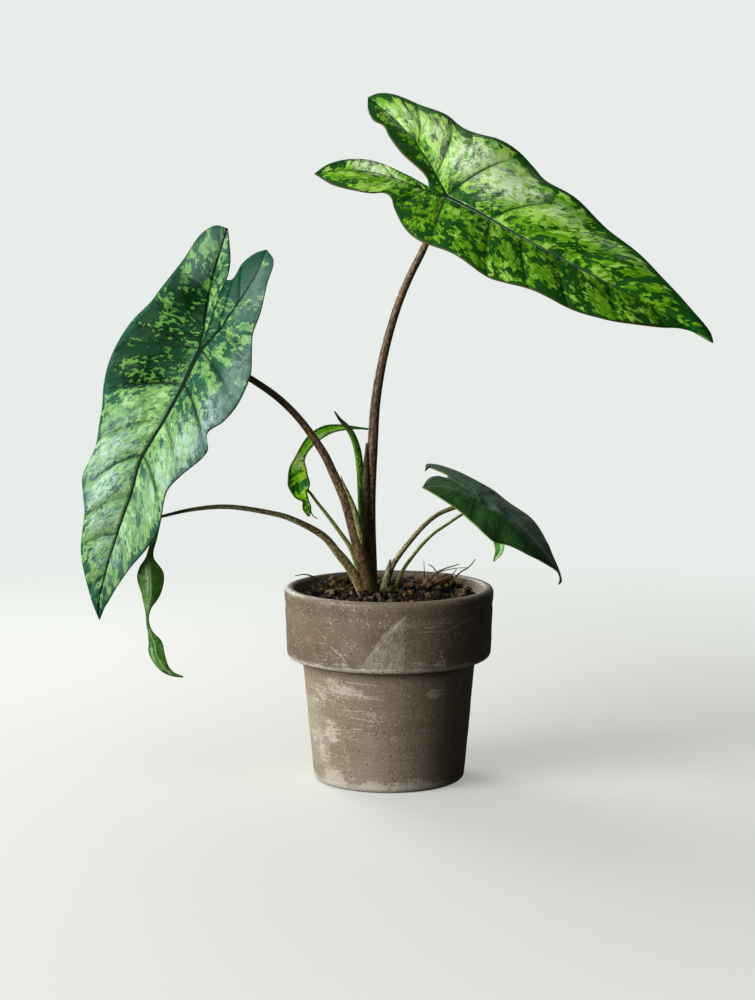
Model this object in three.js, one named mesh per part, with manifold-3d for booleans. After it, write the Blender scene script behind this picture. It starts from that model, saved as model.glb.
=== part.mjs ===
// A potted aroid: long arrow-shaped leaves on bare stalks, in a plain unglazed clay pot.
// Millimetres, +Z up. The viewer looks along +Y, with +X to the right.
// Everything is laid out about the pot's own axis, and the whole plant is shifted once, at the end,
// so that the middle of its bounding box stands over the origin and the pot's foot lies on z = 0.

import * as THREE from "three";
import { mergeVertices } from "three/addons/utils/BufferGeometryUtils.js";
import Module from "manifold-3d";

const wasm = await Module();
wasm.setup();

// Driving dimensions
const GAP = 0.3; // clearance between two pieces that touch
const POT = {
  height: 111.5,
  rimRadius: 60,
  collarRadius: 58.6, // lower edge of the collar
  collarHeight: 40.5,
  neckRadius: 49.6, // body just under the collar
  footRadius: 43.5,
  lip: 5.4, // wall at the rim
  wall: 5.2, // wall of the body
  floor: 7,
  drainRadius: 7,
  rounding: 3,
  sides: 44,
};
const SOIL = { top: 106.5, sides: 30, rings: 5, lumps: 16, relief: 1.1 };
const CORM = { bottom: 68, top: 91, radius: 10, x: -9, y: 2, sides: 14 };
const BLADE = { thickness: 0.8, vein: 0.9, veinTip: 0.2 }; // vein: how far the main veins stand proud below

const COLOURS = {
  clay: 0x786a5d,
  soil: 0x2c2018,
  corm: 0x5b4632,
  stalk: 0x5d4a3c,
  greenStalk: 0x6f7250,
  leaf: 0x4f8a3a,
  darkLeaf: 0x2f5138,
  brightLeaf: 0x6fb52c,
};

// Small helpers

const vector = (p) => new THREE.Vector3(p[0], p[1], p[2] ?? 0);

const smoothCurve = (points) => new THREE.CatmullRomCurve3(points.map(vector), false, "centripetal");

function randomFrom(seed) {
  let state = seed;
  return () => {
    state = (state * 1664525 + 1013904223) % 4294967296;
    return state / 4294967296;
  };
}

// Value at fraction t of a list of values spread evenly from 0 to 1.
function along(values, t) {
  const place = Math.min(Math.max(t, 0), 1) * (values.length - 1);
  const low = Math.min(Math.floor(place), values.length - 2);
  return THREE.MathUtils.lerp(values[low], values[low + 1], place - low);
}

function indexedGeometry(points, triangles) {
  const geometry = new THREE.BufferGeometry();
  const position = points.flatMap((p) => [p.x, p.y, p.z]);
  geometry.setAttribute("position", new THREE.Float32BufferAttribute(position, 3));
  geometry.setIndex(triangles.flat());
  return geometry;
}

function toSolid(geometry) {
  const bare = geometry.clone();
  bare.deleteAttribute("normal");
  bare.deleteAttribute("uv");
  const merged = mergeVertices(bare, 1e-4);
  const vertProperties = new Float32Array(merged.attributes.position.array);
  const triVerts = new Uint32Array(merged.index.array);
  return new wasm.Manifold(new wasm.Mesh({ numProp: 3, vertProperties, triVerts }));
}

// The largest body of a solid, as a geometry; loose scraps that a cut leaves are dropped.
function toGeometry(solid) {
  const bodies = solid.decompose().sort((a, b) => b.volume() - a.volume());
  const mesh = bodies[0].getMesh();
  const geometry = new THREE.BufferGeometry();
  const position = [];
  for (let i = 0; i < mesh.vertProperties.length; i += mesh.numProp) {
    position.push(...mesh.vertProperties.subarray(i, i + 3));
  }
  geometry.setAttribute("position", new THREE.Float32BufferAttribute(position, 3));
  geometry.setIndex(Array.from(mesh.triVerts));
  geometry.computeVertexNormals();
  return geometry;
}

const cutClear = (solid, others) => others.reduce((rest, other) => rest.subtract(other), solid);

// Stalks: a round tube of changing radius swept along a smooth curve

function sweptTube(route, radii, { sides = 10, steps = 24, grow = 0 } = {}) {
  const curve = smoothCurve(route);
  const frames = curve.computeFrenetFrames(steps, false);
  const points = [];
  for (let i = 0; i <= steps; i += 1) {
    const centre = curve.getPointAt(i / steps);
    const radius = along(radii, i / steps) + grow;
    for (let k = 0; k < sides; k += 1) {
      const angle = (2 * Math.PI * k) / sides;
      points.push(
        centre
          .clone()
          .addScaledVector(frames.normals[i], radius * Math.cos(angle))
          .addScaledVector(frames.binormals[i], radius * Math.sin(angle)),
      );
    }
  }
  const first = points.push(curve.getPointAt(0).addScaledVector(frames.tangents[0], -grow)) - 1;
  const last = points.push(curve.getPointAt(1).addScaledVector(frames.tangents[steps], grow)) - 1;
  const triangles = [];
  for (let k = 0; k < sides; k += 1) {
    const next = (k + 1) % sides;
    for (let i = 0; i < steps; i += 1) {
      const [a, b] = [i * sides + k, i * sides + next];
      triangles.push([a, b, b + sides], [a, b + sides, a + sides]);
    }
    triangles.push([first, next, k], [last, steps * sides + k, steps * sides + next]);
  }
  return toSolid(indexedGeometry(points, triangles));
}

// Blades: a mid surface given a thickness, with the same triangles on both faces and a wall round its edge

function thinSheet({ points, triangles, ribs }, above = BLADE.thickness / 2, below = BLADE.thickness / 2) {
  const normals = points.map(() => new THREE.Vector3());
  for (const [a, b, c] of triangles) {
    const face = new THREE.Vector3().crossVectors(
      points[b].clone().sub(points[a]),
      points[c].clone().sub(points[a]),
    );
    [a, b, c].forEach((i) => normals[i].add(face));
  }
  normals.forEach((n) => n.normalize());
  const upper = points.map((p, i) => p.clone().addScaledVector(normals[i], above));
  const lower = points.map((p, i) => p.clone().addScaledVector(normals[i], -below - ribs[i]));
  const count = points.length;
  const faces = [];
  const edges = new Set();
  for (const [a, b, c] of triangles) {
    faces.push([a, b, c], [a + count, c + count, b + count]);
    [[a, b], [b, c], [c, a]].forEach(([from, to]) => edges.add(`${from} ${to}`));
  }
  for (const edge of edges) {
    const [from, to] = edge.split(" ").map(Number);
    if (!edges.has(`${to} ${from}`)) {
      faces.push([to, from, from + count], [to, from + count, to + count]);
    }
  }
  return toSolid(indexedGeometry([...upper, ...lower], faces));
}

// Collects the points of a mid surface, so that patches share the points on their common lines.
class MidSurface {
  constructor() {
    this.points = [];
    this.ribs = [];
    this.triangles = [];
    this.seen = new Map();
  }

  add(point, rib) {
    const key = [point.x, point.y, point.z].map((v) => v.toFixed(3)).join(" ");
    if (!this.seen.has(key)) {
      this.seen.set(key, this.points.push(point) - 1);
      this.ribs.push(rib);
    }
    return this.seen.get(key);
  }

  // Two triangles for each cell of a grid of point numbers; cells that close to a line give fewer.
  addGrid(grid, flipped) {
    for (let i = 0; i + 1 < grid.length; i += 1) {
      for (let k = 0; k + 1 < grid[i].length; k += 1) {
        const [a, b, c, d] = [grid[i][k], grid[i + 1][k], grid[i + 1][k + 1], grid[i][k + 1]];
        for (const [p, q, r] of [[a, b, c], [a, c, d]]) {
          if (p !== q && q !== r && r !== p) {
            this.triangles.push(flipped ? [p, r, q] : [p, q, r]);
          }
        }
      }
    }
  }
}

function distanceToLines(point, lines) {
  let nearest = Infinity;
  const spot = new THREE.Vector3();
  for (const line of lines) {
    for (let i = 0; i + 1 < line.length; i += 1) {
      new THREE.Line3(line[i], line[i + 1]).closestPointToPoint(point, true, spot);
      nearest = Math.min(nearest, spot.distanceTo(point));
    }
  }
  return nearest;
}

// Fraction of a curve's length at which it passes nearest to a point.
function fractionNear(curve, point) {
  const samples = 600;
  let best = 0;
  let nearest = Infinity;
  curve.getSpacedPoints(samples).forEach((p, i) => {
    const distance = p.distanceTo(vector(point));
    if (distance < nearest) {
      [best, nearest] = [i / samples, distance];
    }
  });
  return best;
}

// An arrow-shaped blade. Its outline is drawn flat, as [along, across] in mm from the point where the
// stalk joins it, and then bent: arched along its length, folded up from its veins, waved at its margin.
function arrowBlade(leaf) {
  const joint = vector(leaf.joint);
  const lengthwise = vector(leaf.tip).sub(joint).normalize();
  const crosswise = vector(leaf.across);
  crosswise.addScaledVector(lengthwise, -crosswise.dot(lengthwise)).normalize();
  const outward = new THREE.Vector3().crossVectors(lengthwise, crosswise);

  const midrib = smoothCurve(leaf.midrib);
  const veins = leaf.halves.map((half) => smoothCurve(half.vein));
  const lines = [midrib, ...veins].map((curve) => curve.getSpacedPoints(12));
  const { arch, fold, wave } = leaf;
  const archAt = (a) => arch.height * (1 - ((a - arch.middle) / arch.reach) ** 2);
  const surface = new MidSurface();

  function bent(flat, side, rib) {
    const distance = distanceToLines(flat, lines);
    const rise =
      archAt(flat.x) - archAt(0) + fold.rise * distance - fold.curl * distance ** 2 +
      wave.height * (distance / wave.width) ** 2 *
        Math.sin((2 * Math.PI * flat.x) / wave.length + side * wave.phase) * Math.abs(side);
    const point = joint
      .clone()
      .addScaledVector(lengthwise, flat.x)
      .addScaledVector(crosswise, flat.y)
      .addScaledVector(outward, rise);
    return surface.add(point, rib);
  }

  leaf.halves.forEach((half, h) => {
    const side = h === 0 ? 1 : -1;
    const vein = veins[h];
    const margin = smoothCurve(half.margin);
    const sinus = smoothCurve(half.sinus);
    // A row runs from the skeleton (midrib, then lobe vein) to the margin, along a side vein.
    const ends = half.rows.map(([from, to], i) => ({
      skeleton: i < leaf.midribRows ? fractionNear(midrib, from) : 1 + fractionNear(vein, from),
      margin: fractionNear(margin, to),
    }));
    const stations = [{ skeleton: 0, margin: 0 }, ...ends, { skeleton: 2, margin: 1 }];
    stations.splice(leaf.midribRows + 1, 0, {
      skeleton: 1,
      margin: (stations[leaf.midribRows].margin + stations[leaf.midribRows + 1].margin) / 2,
    });
    const outer = [];
    const inner = [];
    for (let i = 0; i + 1 < stations.length; i += 1) {
      const parts = i + 2 < stations.length ? leaf.rowsPerVein : leaf.rowsPerVein + 1;
      for (let k = i === 0 ? 0 : 1; k <= parts; k += 1) {
        const skeleton = THREE.MathUtils.lerp(stations[i].skeleton, stations[i + 1].skeleton, k / parts);
        const edge = THREE.MathUtils.lerp(stations[i].margin, stations[i + 1].margin, k / parts);
        const start = skeleton <= 1 ? midrib.getPointAt(skeleton) : vein.getPointAt(skeleton - 1);
        const end = margin.getPointAt(edge);
        const rib = Math.max(BLADE.veinTip, BLADE.vein * Math.min(1, 2 * skeleton, 2 * (2 - skeleton)));
        const row = [];
        for (let n = 0; n <= leaf.columns; n += 1) {
          const s = n / leaf.columns;
          const x = THREE.MathUtils.lerp(start.x, end.x, s ** leaf.veinSweep);
          const y = THREE.MathUtils.lerp(start.y, end.y, s);
          row.push(bent(new THREE.Vector3(x, y, 0), n === 0 ? 0 : side, n === 0 ? rib : 0));
        }
        outer.push(row);
        if (skeleton >= 1) {
          const rim = sinus.getPointAt(skeleton - 1);
          inner.push(
            [0, 1, 2].map((n) => bent(start.clone().lerp(rim, n / 2), 0, n === 0 ? rib : 0)),
          );
        }
      }
    }
    surface.addGrid(outer, side > 0);
    surface.addGrid(inner, side < 0);
  });
  return surface;
}

// A narrow blade: a strip along a curve, with its own half widths and its roll about the curve in degrees.
function ribbonBlade({ route, halfWidths, rolls, fold, steps = 24 }) {
  const curve = smoothCurve(route);
  const surface = new MidSurface();
  const toViewer = new THREE.Vector3(0, -1, 0);
  const grid = [];
  for (let i = 0; i <= steps; i += 1) {
    const t = i / steps;
    const centre = curve.getPointAt(t);
    const tangent = curve.getTangentAt(t);
    const roll = THREE.MathUtils.degToRad(along(rolls, t));
    const across = new THREE.Vector3().crossVectors(tangent, toViewer).normalize();
    across.applyAxisAngle(tangent, roll);
    const out = new THREE.Vector3().crossVectors(across, tangent);
    const half = along(halfWidths, t);
    grid.push(
      [-1, -0.5, 0, 0.5, 1].map((s) => {
        const point = centre
          .clone()
          .addScaledVector(across, s * half)
          .addScaledVector(out, fold * Math.abs(s) * half);
        return surface.add(point, s === 0 ? BLADE.veinTip : 0);
      }),
    );
  }
  surface.addGrid(grid, true);
  return surface;
}

// The pot: one turned wall with a thick collar, a flat foot and a drainage hole

function arcPoints(centreR, centreZ, radius, from, to, count) {
  return Array.from({ length: count + 1 }, (_, i) => {
    const angle = THREE.MathUtils.degToRad(THREE.MathUtils.lerp(from, to, i / count));
    return [centreR + radius * Math.cos(angle), centreZ + radius * Math.sin(angle)];
  });
}

const collarBottom = POT.height - POT.collarHeight;
const innerFloorRadius = POT.footRadius - POT.wall;
const innerNeckRadius = POT.neckRadius - POT.wall;
const innerRimRadius = POT.rimRadius - POT.lip;

function turned(profile, sides) {
  return toSolid(new THREE.LatheGeometry(profile.map(([r, z]) => new THREE.Vector2(r, z)), sides))
    .rotate([90, 0, 0]);
}

function makePot() {
  const r = POT.rounding;
  const profile = [
    [POT.drainRadius, 0],
    ...arcPoints(POT.footRadius - r, r, r, -90, 0, 2),
    [POT.neckRadius, collarBottom - 2],
    [POT.neckRadius + 1.5, collarBottom],
    ...arcPoints(POT.collarRadius - r, collarBottom + r, r, -90, 0, 2),
    ...arcPoints(POT.rimRadius - r, POT.height - r, r, 0, 90, 2),
    ...arcPoints(innerRimRadius + 2, POT.height - 2, 2, 90, 180, 1),
    [innerNeckRadius, collarBottom - 4],
    [innerFloorRadius, POT.floor],
    [POT.drainRadius, POT.floor],
    [POT.drainRadius, 0],
  ];
  return turned(profile, POT.sides);
}

function makeCorm() {
  const height = CORM.top - CORM.bottom;
  const shape = [[0, 0], [0.62, 0.12], [1, 0.45], [0.86, 0.8], [0.7, 1], [0, 1]]; // of the radius and height
  const profile = shape.map(([r, h]) => [CORM.radius * r, CORM.bottom + height * h]);
  return turned(profile, CORM.sides).translate([CORM.x, CORM.y, 0]);
}

// The soil fills the pot up to a rough surface, with crumbs and dry rootlets standing out of it.

const soilRadiusAt = (z) =>
  THREE.MathUtils.mapLinear(z, collarBottom - 4, POT.height - 2, innerNeckRadius, innerRimRadius) - GAP - 0.2;

function soilHeight(x, y) {
  const radial = Math.hypot(x, y) / soilRadiusAt(SOIL.top);
  const rough = Math.sin(0.31 * x + 1.2) * Math.cos(0.27 * y) + 0.6 * Math.sin(0.17 * x - 0.43 * y);
  return SOIL.top - 2.5 * radial ** 4 + SOIL.relief * rough * (1 - radial ** 6);
}

function makeSoil() {
  const surface = { points: [], triangles: [] };
  const { sides, rings } = SOIL;
  const edge = soilRadiusAt(SOIL.top - 2.5);
  surface.points.push(new THREE.Vector3(0, 0, soilHeight(0, 0)));
  const pushRing = (radius, height) => {
    for (let k = 0; k < sides; k += 1) {
      const angle = (2 * Math.PI * k) / sides;
      const [x, y] = [radius * Math.cos(angle), radius * Math.sin(angle)];
      surface.points.push(new THREE.Vector3(x, y, height ?? soilHeight(x, y)));
    }
  };
  for (let i = 1; i <= rings; i += 1) {
    pushRing((edge * i) / rings);
  }
  pushRing(innerNeckRadius - GAP - 0.2, collarBottom - 4);
  pushRing(innerFloorRadius - GAP - 0.2, POT.floor + GAP);
  const bottom = surface.points.push(new THREE.Vector3(0, 0, POT.floor + GAP)) - 1;
  for (let k = 0; k < sides; k += 1) {
    const next = (k + 1) % sides;
    surface.triangles.push([0, 1 + k, 1 + next]);
    for (let i = 0; i <= rings; i += 1) {
      const [a, b] = [1 + i * sides + k, 1 + i * sides + next];
      surface.triangles.push([a, a + sides, b + sides], [a, b + sides, b]);
    }
    surface.triangles.push([bottom, bottom - sides + next, bottom - sides + k]);
  }
  let soil = toSolid(indexedGeometry(surface.points, surface.triangles));

  const random = randomFrom(7);
  for (let i = 0; i < SOIL.lumps; i += 1) {
    const angle = 2 * Math.PI * random();
    const reach = (edge - 5) * Math.sqrt(random());
    const size = 1.6 + 2.2 * random();
    const [x, y] = [reach * Math.cos(angle), reach * Math.sin(angle)];
    const crumb = toSolid(new THREE.IcosahedronGeometry(size, 0))
      .rotate([360 * random(), 360 * random(), 0])
      .translate([x, y, soilHeight(x, y) + 0.1 * size]);
    soil = soil.add(crumb);
  }
  for (const route of ROOTLETS) {
    soil = soil.add(sweptTube(route, [0.8, 0.6, 0.5], { sides: 4, steps: 7 }));
  }
  return soil;
}

// Dry rootlets that stand out of the soil, from their buried end.
const ROOTLETS = [
  [[17, 12, 101], [20.6, 14, 109.8], [25.3, 15, 114.4], [28, 15, 116.9], [33.1, 16, 119.1], [40.5, 17, 121.2]],
  [[30, 13, 101], [28.4, 14, 115.3], [27.2, 14, 117.7], [25.3, 14, 120.2], [23.1, 14, 121.6]],
  [[22, 8, 101], [26.7, 9, 111], [29.8, 9.5, 112.9], [33.3, 10, 114.2], [36.8, 11, 116.4], [39, 12, 119]],
  [[33, 14, 101], [36.6, 15, 111.2], [39.7, 16, 115], [42.5, 17, 117.2], [46.4, 18, 119.4], [50.3, 20, 123.6]],
  [[-38, 11, 101], [-40, 10, 111], [-42, 5, 114.6], [-44.1, 0, 116.9], [-48.3, -5, 118.8], [-53.5, -8, 118.5]],
];

// Stalks, from the soil up to the blade: route, radii spread evenly along it, and any sheath
// that wraps its foot, as a second, thinner tube fused to it.
const STALK_FOOT = 90;
const STALKS = {
  tall_petiole: {
    route: [
      [-9.5, 3.5, STALK_FOOT], [-10.5, 4.5, 103], [-10.8, 4.5, 120], [-11, 5, 160], [-9.5, 5, 189],
      [-7.5, 6, 218], [-2.5, 7, 246], [5, 7, 272], [12, 6, 289],
      [18.5, 4, 302], [25, -1, 317.5], [32, -8, 332.5],
    ],
    radii: [4, 4.1, 3.6, 3.2, 2.9, 2.7, 2.5, 2.4, 2.3, 2.1, 1.9],
    sheath: {
      route: [[-13, 5.5, 120], [-14, 6, 145], [-14, 6, 165], [-13.6, 5.5, 184], [-13, 5.3, 191]],
      radii: [1.8, 1.5, 1.3, 0.7],
    },
    colour: COLOURS.stalk,
  },
  left_petiole: {
    route: [
      [-9.8, -3.8, STALK_FOOT], [-9.6, -4, 101], [-12.1, -4.2, 113], [-16.7, -5, 132.5], [-21.5, -6, 150.5],
      [-25, -7, 162], [-32.5, -7, 179], [-36.5, -7, 187.5],
      [-48, -6, 204.5], [-55.5, -5, 213], [-65, -4, 221.5],
      [-79, -3, 231], [-94.5, -7, 241], [-105.5, -20, 248],
    ],
    radii: [3.4, 3.6, 3.9, 3.7, 3.2, 2.5, 2.3, 2.1, 2, 1.9, 1.8, 1.8],
    sheath: {
      route: [[-12.5, -6, 128], [-15.5, -6.5, 140], [-19.6, -6.5, 153], [-23.8, -6.5, 164.5], [-27.3, -6.5, 173]],
      radii: [1.2, 1.5, 1.4, 1.1, 0.5],
    },
    colour: COLOURS.stalk,
  },
  trailing_petiole: {
    route: [
      [-13.5, -0.2, STALK_FOOT], [-14.3, -0.8, 102], [-17.7, -2, 112.5], [-22.6, -4, 122], [-28, -6, 129.5],
      [-37, -8, 141], [-56, -12, 152], [-67.5, -14, 155.5],
      [-92, -18, 159.5], [-112, -20, 158], [-127.5, -20, 154.5],
    ],
    radii: [1.7, 1.9, 2.3, 2.6, 2.3, 1.8, 1.5, 1.4, 1.3, 1.1, 0.9],
    sheath: {
      route: [[-18.5, -3, 121], [-24, -4.5, 130], [-30, -6.5, 137], [-38, -8.2, 143]],
      radii: [1.4, 1.5, 1.2, 0.6],
    },
    colour: COLOURS.greenStalk,
  },
  right_petiole: {
    route: [
      [-3.5, 1, STALK_FOOT], [-3, 1, 102], [-1.5, 1, 116], [1.5, 0, 123.5], [7, -1, 131],
      [12.5, -1, 138], [19.5, -1, 146], [27.5, 0, 152.5], [36.5, 3, 156], [44.5, 4, 158.5], [51, 0, 161.5],
    ],
    radii: [2.4, 2.4, 2.1, 1.9, 1.7, 1.6, 1.5, 1.4, 1.3, 1.3],
    sheath: {
      route: [[-3, 0.5, 92], [-2.6, 0, 106], [-1.2, -0.5, 117], [0.3, -0.5, 125]],
      radii: [3.2, 3.3, 2.7, 1.3],
    },
    colour: COLOURS.greenStalk,
  },
  curled_petiole: {
    route: [
      [-13.5, 7, STALK_FOOT], [-16.5, 6.5, 103], [-18, 6.5, 119.5], [-22.5, 7, 133],
      [-28, 8, 141], [-35, 9, 150.5], [-41.5, 10.5, 158.5], [-46, 10.5, 164.5], [-51.3, 6.3, 169],
    ],
    radii: [1.5, 1.5, 1.4, 1.3, 1.1, 0.9, 0.8],
    colour: COLOURS.greenStalk,
  },
  small_petiole: {
    route: [
      [1.2, 3, STALK_FOOT], [2.5, 3, 100.5], [5, 4, 113], [8.5, 5, 120.5], [14, 7, 128],
      [19.5, 8, 134.5], [26, 10, 140.5], [33.5, 11, 145.5], [42, 12, 151], [48, 13, 153.5],
    ],
    radii: [1.3, 1.2, 1.1, 1, 0.9, 0.8],
    colour: COLOURS.greenStalk,
  },
  spear: {
    route: [
      [-15.3, 4, 124], [-16, 3.5, 143], [-16.2, 3.2, 160.5], [-16.4, 3, 178], [-17, 2.5, 189],
      [-18.5, 2, 195], [-20.5, 2, 201], [-23.5, 2, 205], [-28, 2, 208.5], [-30, 2, 210.5],
    ],
    radii: [1.5, 1.6, 1.7, 1.7, 1.9, 2, 1.9, 1.5, 1, 0.5],
    colour: COLOURS.leaf,
  },
};

// Large blades. Each half lists its lobe vein, its outer margin from tip to lobe end, the edge of the
// notch from its bottom to the lobe end, and the ends of its side veins on the skeleton and the margin.
const ARROW_BLADES = {
  tall_blade: {
    joint: [32.2, -8, 332.7],
    tip: [177.6, -45, 253.9],
    across: [0.465, 0.643, 0.609],
    arch: { height: 5, middle: 60, reach: 110 },
    fold: { rise: 0.28, curl: 0.0033 },
    wave: { height: 1.8, length: 52, width: 45, phase: 1.3 },
    midrib: [[169, 2], [135, 1], [108, 0], [75, -1], [45, -1], [22, 0], [0, 0]],
    midribRows: 5,
    rowsPerVein: 3,
    columns: 5,
    veinSweep: 1.2,
    halves: [
      {
        vein: [[0, 0], [-13, 11], [-32, 25], [-53, 36], [-75, 43]],
        margin: [
          [169, 2], [165, 6], [150, 12], [130, 19], [110, 25], [90, 29], [65, 37], [42, 39], [30, 46],
          [20, 50], [5, 50], [-5, 48], [-16, 48], [-29, 52], [-44, 51], [-63, 51], [-71, 48], [-75, 43],
        ],
        sinus: [
          [-12, 0], [-15, 4], [-20, 7], [-36, 12], [-49, 20],
          [-56, 26], [-62, 26], [-69, 32], [-75, 43],
        ],
        rows: [
          [[132, 1], [148, 12]], [[104, 0], [126, 20]], [[72, -1], [107, 26]], [[50, -1], [86, 30]],
          [[28, 0], [65, 37]], [[-13, 11], [-22, 50]], [[-32, 25], [-48, 51]],
        ],
      },
      {
        vein: [[0, 0], [-13, -3], [-31, -5], [-50, -11], [-70, -27]],
        margin: [
          [169, 2], [160, 2], [150, -2], [140, -11], [120, -25],
          [110, -29], [93, -34], [70, -37], [57, -40],
          [47, -42], [25, -41], [5, -42], [-6, -39], [-18, -30],
          [-25, -22], [-29, -21], [-35, -26], [-44, -29],
          [-57, -31], [-70, -27],
        ],
        sinus: [[-12, 0], [-25, 0.5], [-45, -1], [-53, -4], [-61, -10], [-67, -18], [-70, -27]],
        rows: [
          [[132, 1], [143, -8]], [[104, 0], [122, -24]], [[72, -1], [93, -34]], [[50, -1], [70, -37]],
          [[28, 0], [47, -42]], [[-13, -3], [-19, -29]], [[-31, -5], [-40, -29]],
        ],
      },
    ],
    colour: COLOURS.leaf,
  },
  left_blade: {
    joint: [-105.7, -20, 247.9],
    tip: [-165, -14, 95.7],
    across: [0.78, -0.45, -0.4],
    arch: { height: 14, middle: 75, reach: 85 },
    fold: { rise: 0.24, curl: 0.003 },
    wave: { height: 2.2, length: 44, width: 42, phase: 1.3 },
    midrib: [[166, -2], [151, -4], [121, -3], [86, -2], [69, -4], [56, -2], [41, 0], [21, 1], [0, 0]],
    midribRows: 6,
    rowsPerVein: 3,
    columns: 5,
    veinSweep: 1.2,
    halves: [
      {
        vein: [[0, 0], [-12, 4], [-30, 6], [-48, 6], [-64, 2]],
        margin: [
          [166, -2], [159, 0], [151, 3], [131, 11], [114, 19],
          [98, 24], [77, 21], [67, 25], [51, 35], [46, 36],
          [38, 31], [29, 36], [12, 40], [0, 39], [-12, 31],
          [-20, 26], [-32, 23], [-48, 16], [-60, 11], [-64, 2],
        ],
        sinus: [[-40, -9], [-42, -5], [-52, -5], [-60, -2], [-64, 2]],
        rows: [
          [[141, -4], [153, 2]], [[114, -3], [133, 10]], [[91, -2], [113, 19]], [[66, -3], [90, 23]],
          [[43, 0], [67, 25]], [[21, 1], [47, 36]], [[-14, 4], [-12, 31]], [[-32, 6], [-34, 22]],
        ],
      },
      {
        vein: [[0, 0], [-12, -6], [-30, -14], [-50, -21], [-66, -27]],
        margin: [
          [166, -2], [158, -8], [144, -16], [131, -22], [109, -25],
          [101, -29], [91, -34], [71, -32], [53, -37],
          [39, -44], [22, -45], [1, -46], [-15, -40], [-40, -38], [-58, -38], [-65, -34], [-66, -27],
        ],
        sinus: [[-40, -9], [-46, -11], [-52, -14], [-58, -19], [-66, -27]],
        rows: [
          [[141, -4], [151, -12]], [[114, -3], [129, -22]], [[91, -2], [113, -25]], [[66, -3], [98, -31]],
          [[43, 0], [69, -32]], [[21, 1], [43, -43]], [[-14, -7], [-15, -40]], [[-32, -14], [-36, -38]],
        ],
      },
    ],
    colour: COLOURS.leaf,
  },
  right_blade: {
    joint: [50.8, 0, 161.6],
    tip: [98.6, -8, 114.9],
    across: [0.2, 0.85, 0.38],
    arch: { height: 6, middle: 30, reach: 40 },
    fold: { rise: -0.04, curl: 0.006 },
    wave: { height: 1, length: 30, width: 24, phase: 1.3 },
    midrib: [[67, -2], [65, 4], [60, 6], [40, 6], [22, 5], [10, 2], [0, 0]],
    midribRows: 3,
    rowsPerVein: 3,
    columns: 4,
    veinSweep: 1.2,
    halves: [
      {
        vein: [[0, 0], [-10, 8], [-24, 12], [-32, 8], [-33, 0]],
        margin: [
          [67, -2], [67, 3], [63, 7], [50, 14], [42, 22], [35, 25], [20, 26], [12, 24], [-5, 20], [-22, 16],
          [-31, 13], [-35, 9], [-33, 0],
        ],
        sinus: [[-21, 4], [-22, 7], [-29, 7], [-33, 6], [-33, 0]],
        rows: [[[50, 6], [55, 11]], [[36, 6], [45, 20]], [[20, 5], [29, 26]], [[-10, 8], [-13, 18]]],
      },
      {
        vein: [[0, 0], [-12, -5], [-21, -11], [-27, -20]],
        margin: [
          [67, -2], [66, 2], [62, 5], [52, -1], [42, -9], [30, -14], [22, -20], [15, -22], [8, -21],
          [-2, -19], [-14, -20], [-27, -20],
        ],
        sinus: [[-21, 4], [-25, 2], [-28, -5], [-27, -20]],
        rows: [[[50, 6], [54, 0]], [[36, 6], [42, -9]], [[20, 5], [26, -17]], [[-8, -3], [-10, -20]]],
      },
    ],
    colour: COLOURS.darkLeaf,
  },
};

const RIBBON_BLADES = {
  trailing_blade: {
    route: [
      [-128.9, -20, 153.8], [-130.6, -20.7, 148], [-131.9, -21, 143], [-134.6, -22, 134], [-135.2, -22, 126],
      [-134.7, -22, 118], [-134.7, -22, 111], [-136.3, -22, 103], [-136.4, -22, 93], [-134.4, -22, 86],
      [-132.7, -22, 81.5], [-132.1, -22, 76.6], [-129.9, -22, 71.6], [-127, -22, 67.3],
      [-122.8, -22, 64.3], [-117, -22, 62.7],
    ],
    halfWidths: [
      0.7, 1, 1.2, 1.3, 1.4, 2.4, 5.5, 7.1, 6.8, 5.7, 4.1, 2.2, 1.3, 1.6, 2, 3.1, 3.9, 3.7, 3, 2, 1, 0.4,
    ],
    rolls: [0, 0, 0, 10, 10, 0, 0, 0, 10, 30, 45, 40, 20, 0, 0, 0],
    fold: 0.25,
    steps: 34,
    colour: COLOURS.leaf,
  },
  curled_blade: {
    route: [
      [-46, 5, 150.9], [-47.1, 5.2, 156], [-48, 5.5, 160.3], [-50.4, 6, 164.1], [-51.5, 6.5, 169.2],
      [-52.2, 7.2, 175], [-52.1, 8.2, 180.1], [-51.1, 9, 184.4], [-48.6, 10, 189.5], [-45.1, 11, 194.2],
      [-40.7, 11.5, 197.8], [-34.6, 12, 200.5], [-24.3, 12, 201.5], [-11.8, 12, 200.6],
    ],
    halfWidths: [0.6, 2.4, 1.9, 4.4, 6.2, 5.6, 4.7, 3, 2.6, 2.9, 3.2, 3.2, 2.8, 2.1, 1.5, 0.9, 0.5, 0.4],
    rolls: [0, 0, 0, 0, 10, 15, 10, 0, 0, 0],
    fold: 0.35,
    steps: 32,
    colour: COLOURS.brightLeaf,
  },
  small_blade: {
    route: [
      [49, 13.3, 153.7], [54, 15, 151], [58.8, 16, 147], [62.3, 16, 141],
      [63.9, 15.5, 133.6], [63.8, 14.5, 129.3], [62, 13.5, 126.1], [60.7, 13, 123.5],
    ],
    halfWidths: [0.7, 2.2, 3.4, 4, 4.1, 3.4, 2.7, 1.8, 0.4],
    rolls: [0, 0, 0, 0, 0, 0],
    fold: 0.25,
    steps: 16,
    colour: COLOURS.brightLeaf,
  },
};

// Assembly

const plant = new THREE.Group();

function addPiece(name, solid, colour, roughness) {
  const material = new THREE.MeshStandardMaterial({ color: colour, roughness, metalness: 0 });
  const mesh = new THREE.Mesh(toGeometry(solid), material);
  mesh.name = name;
  plant.add(mesh);
}

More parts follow.
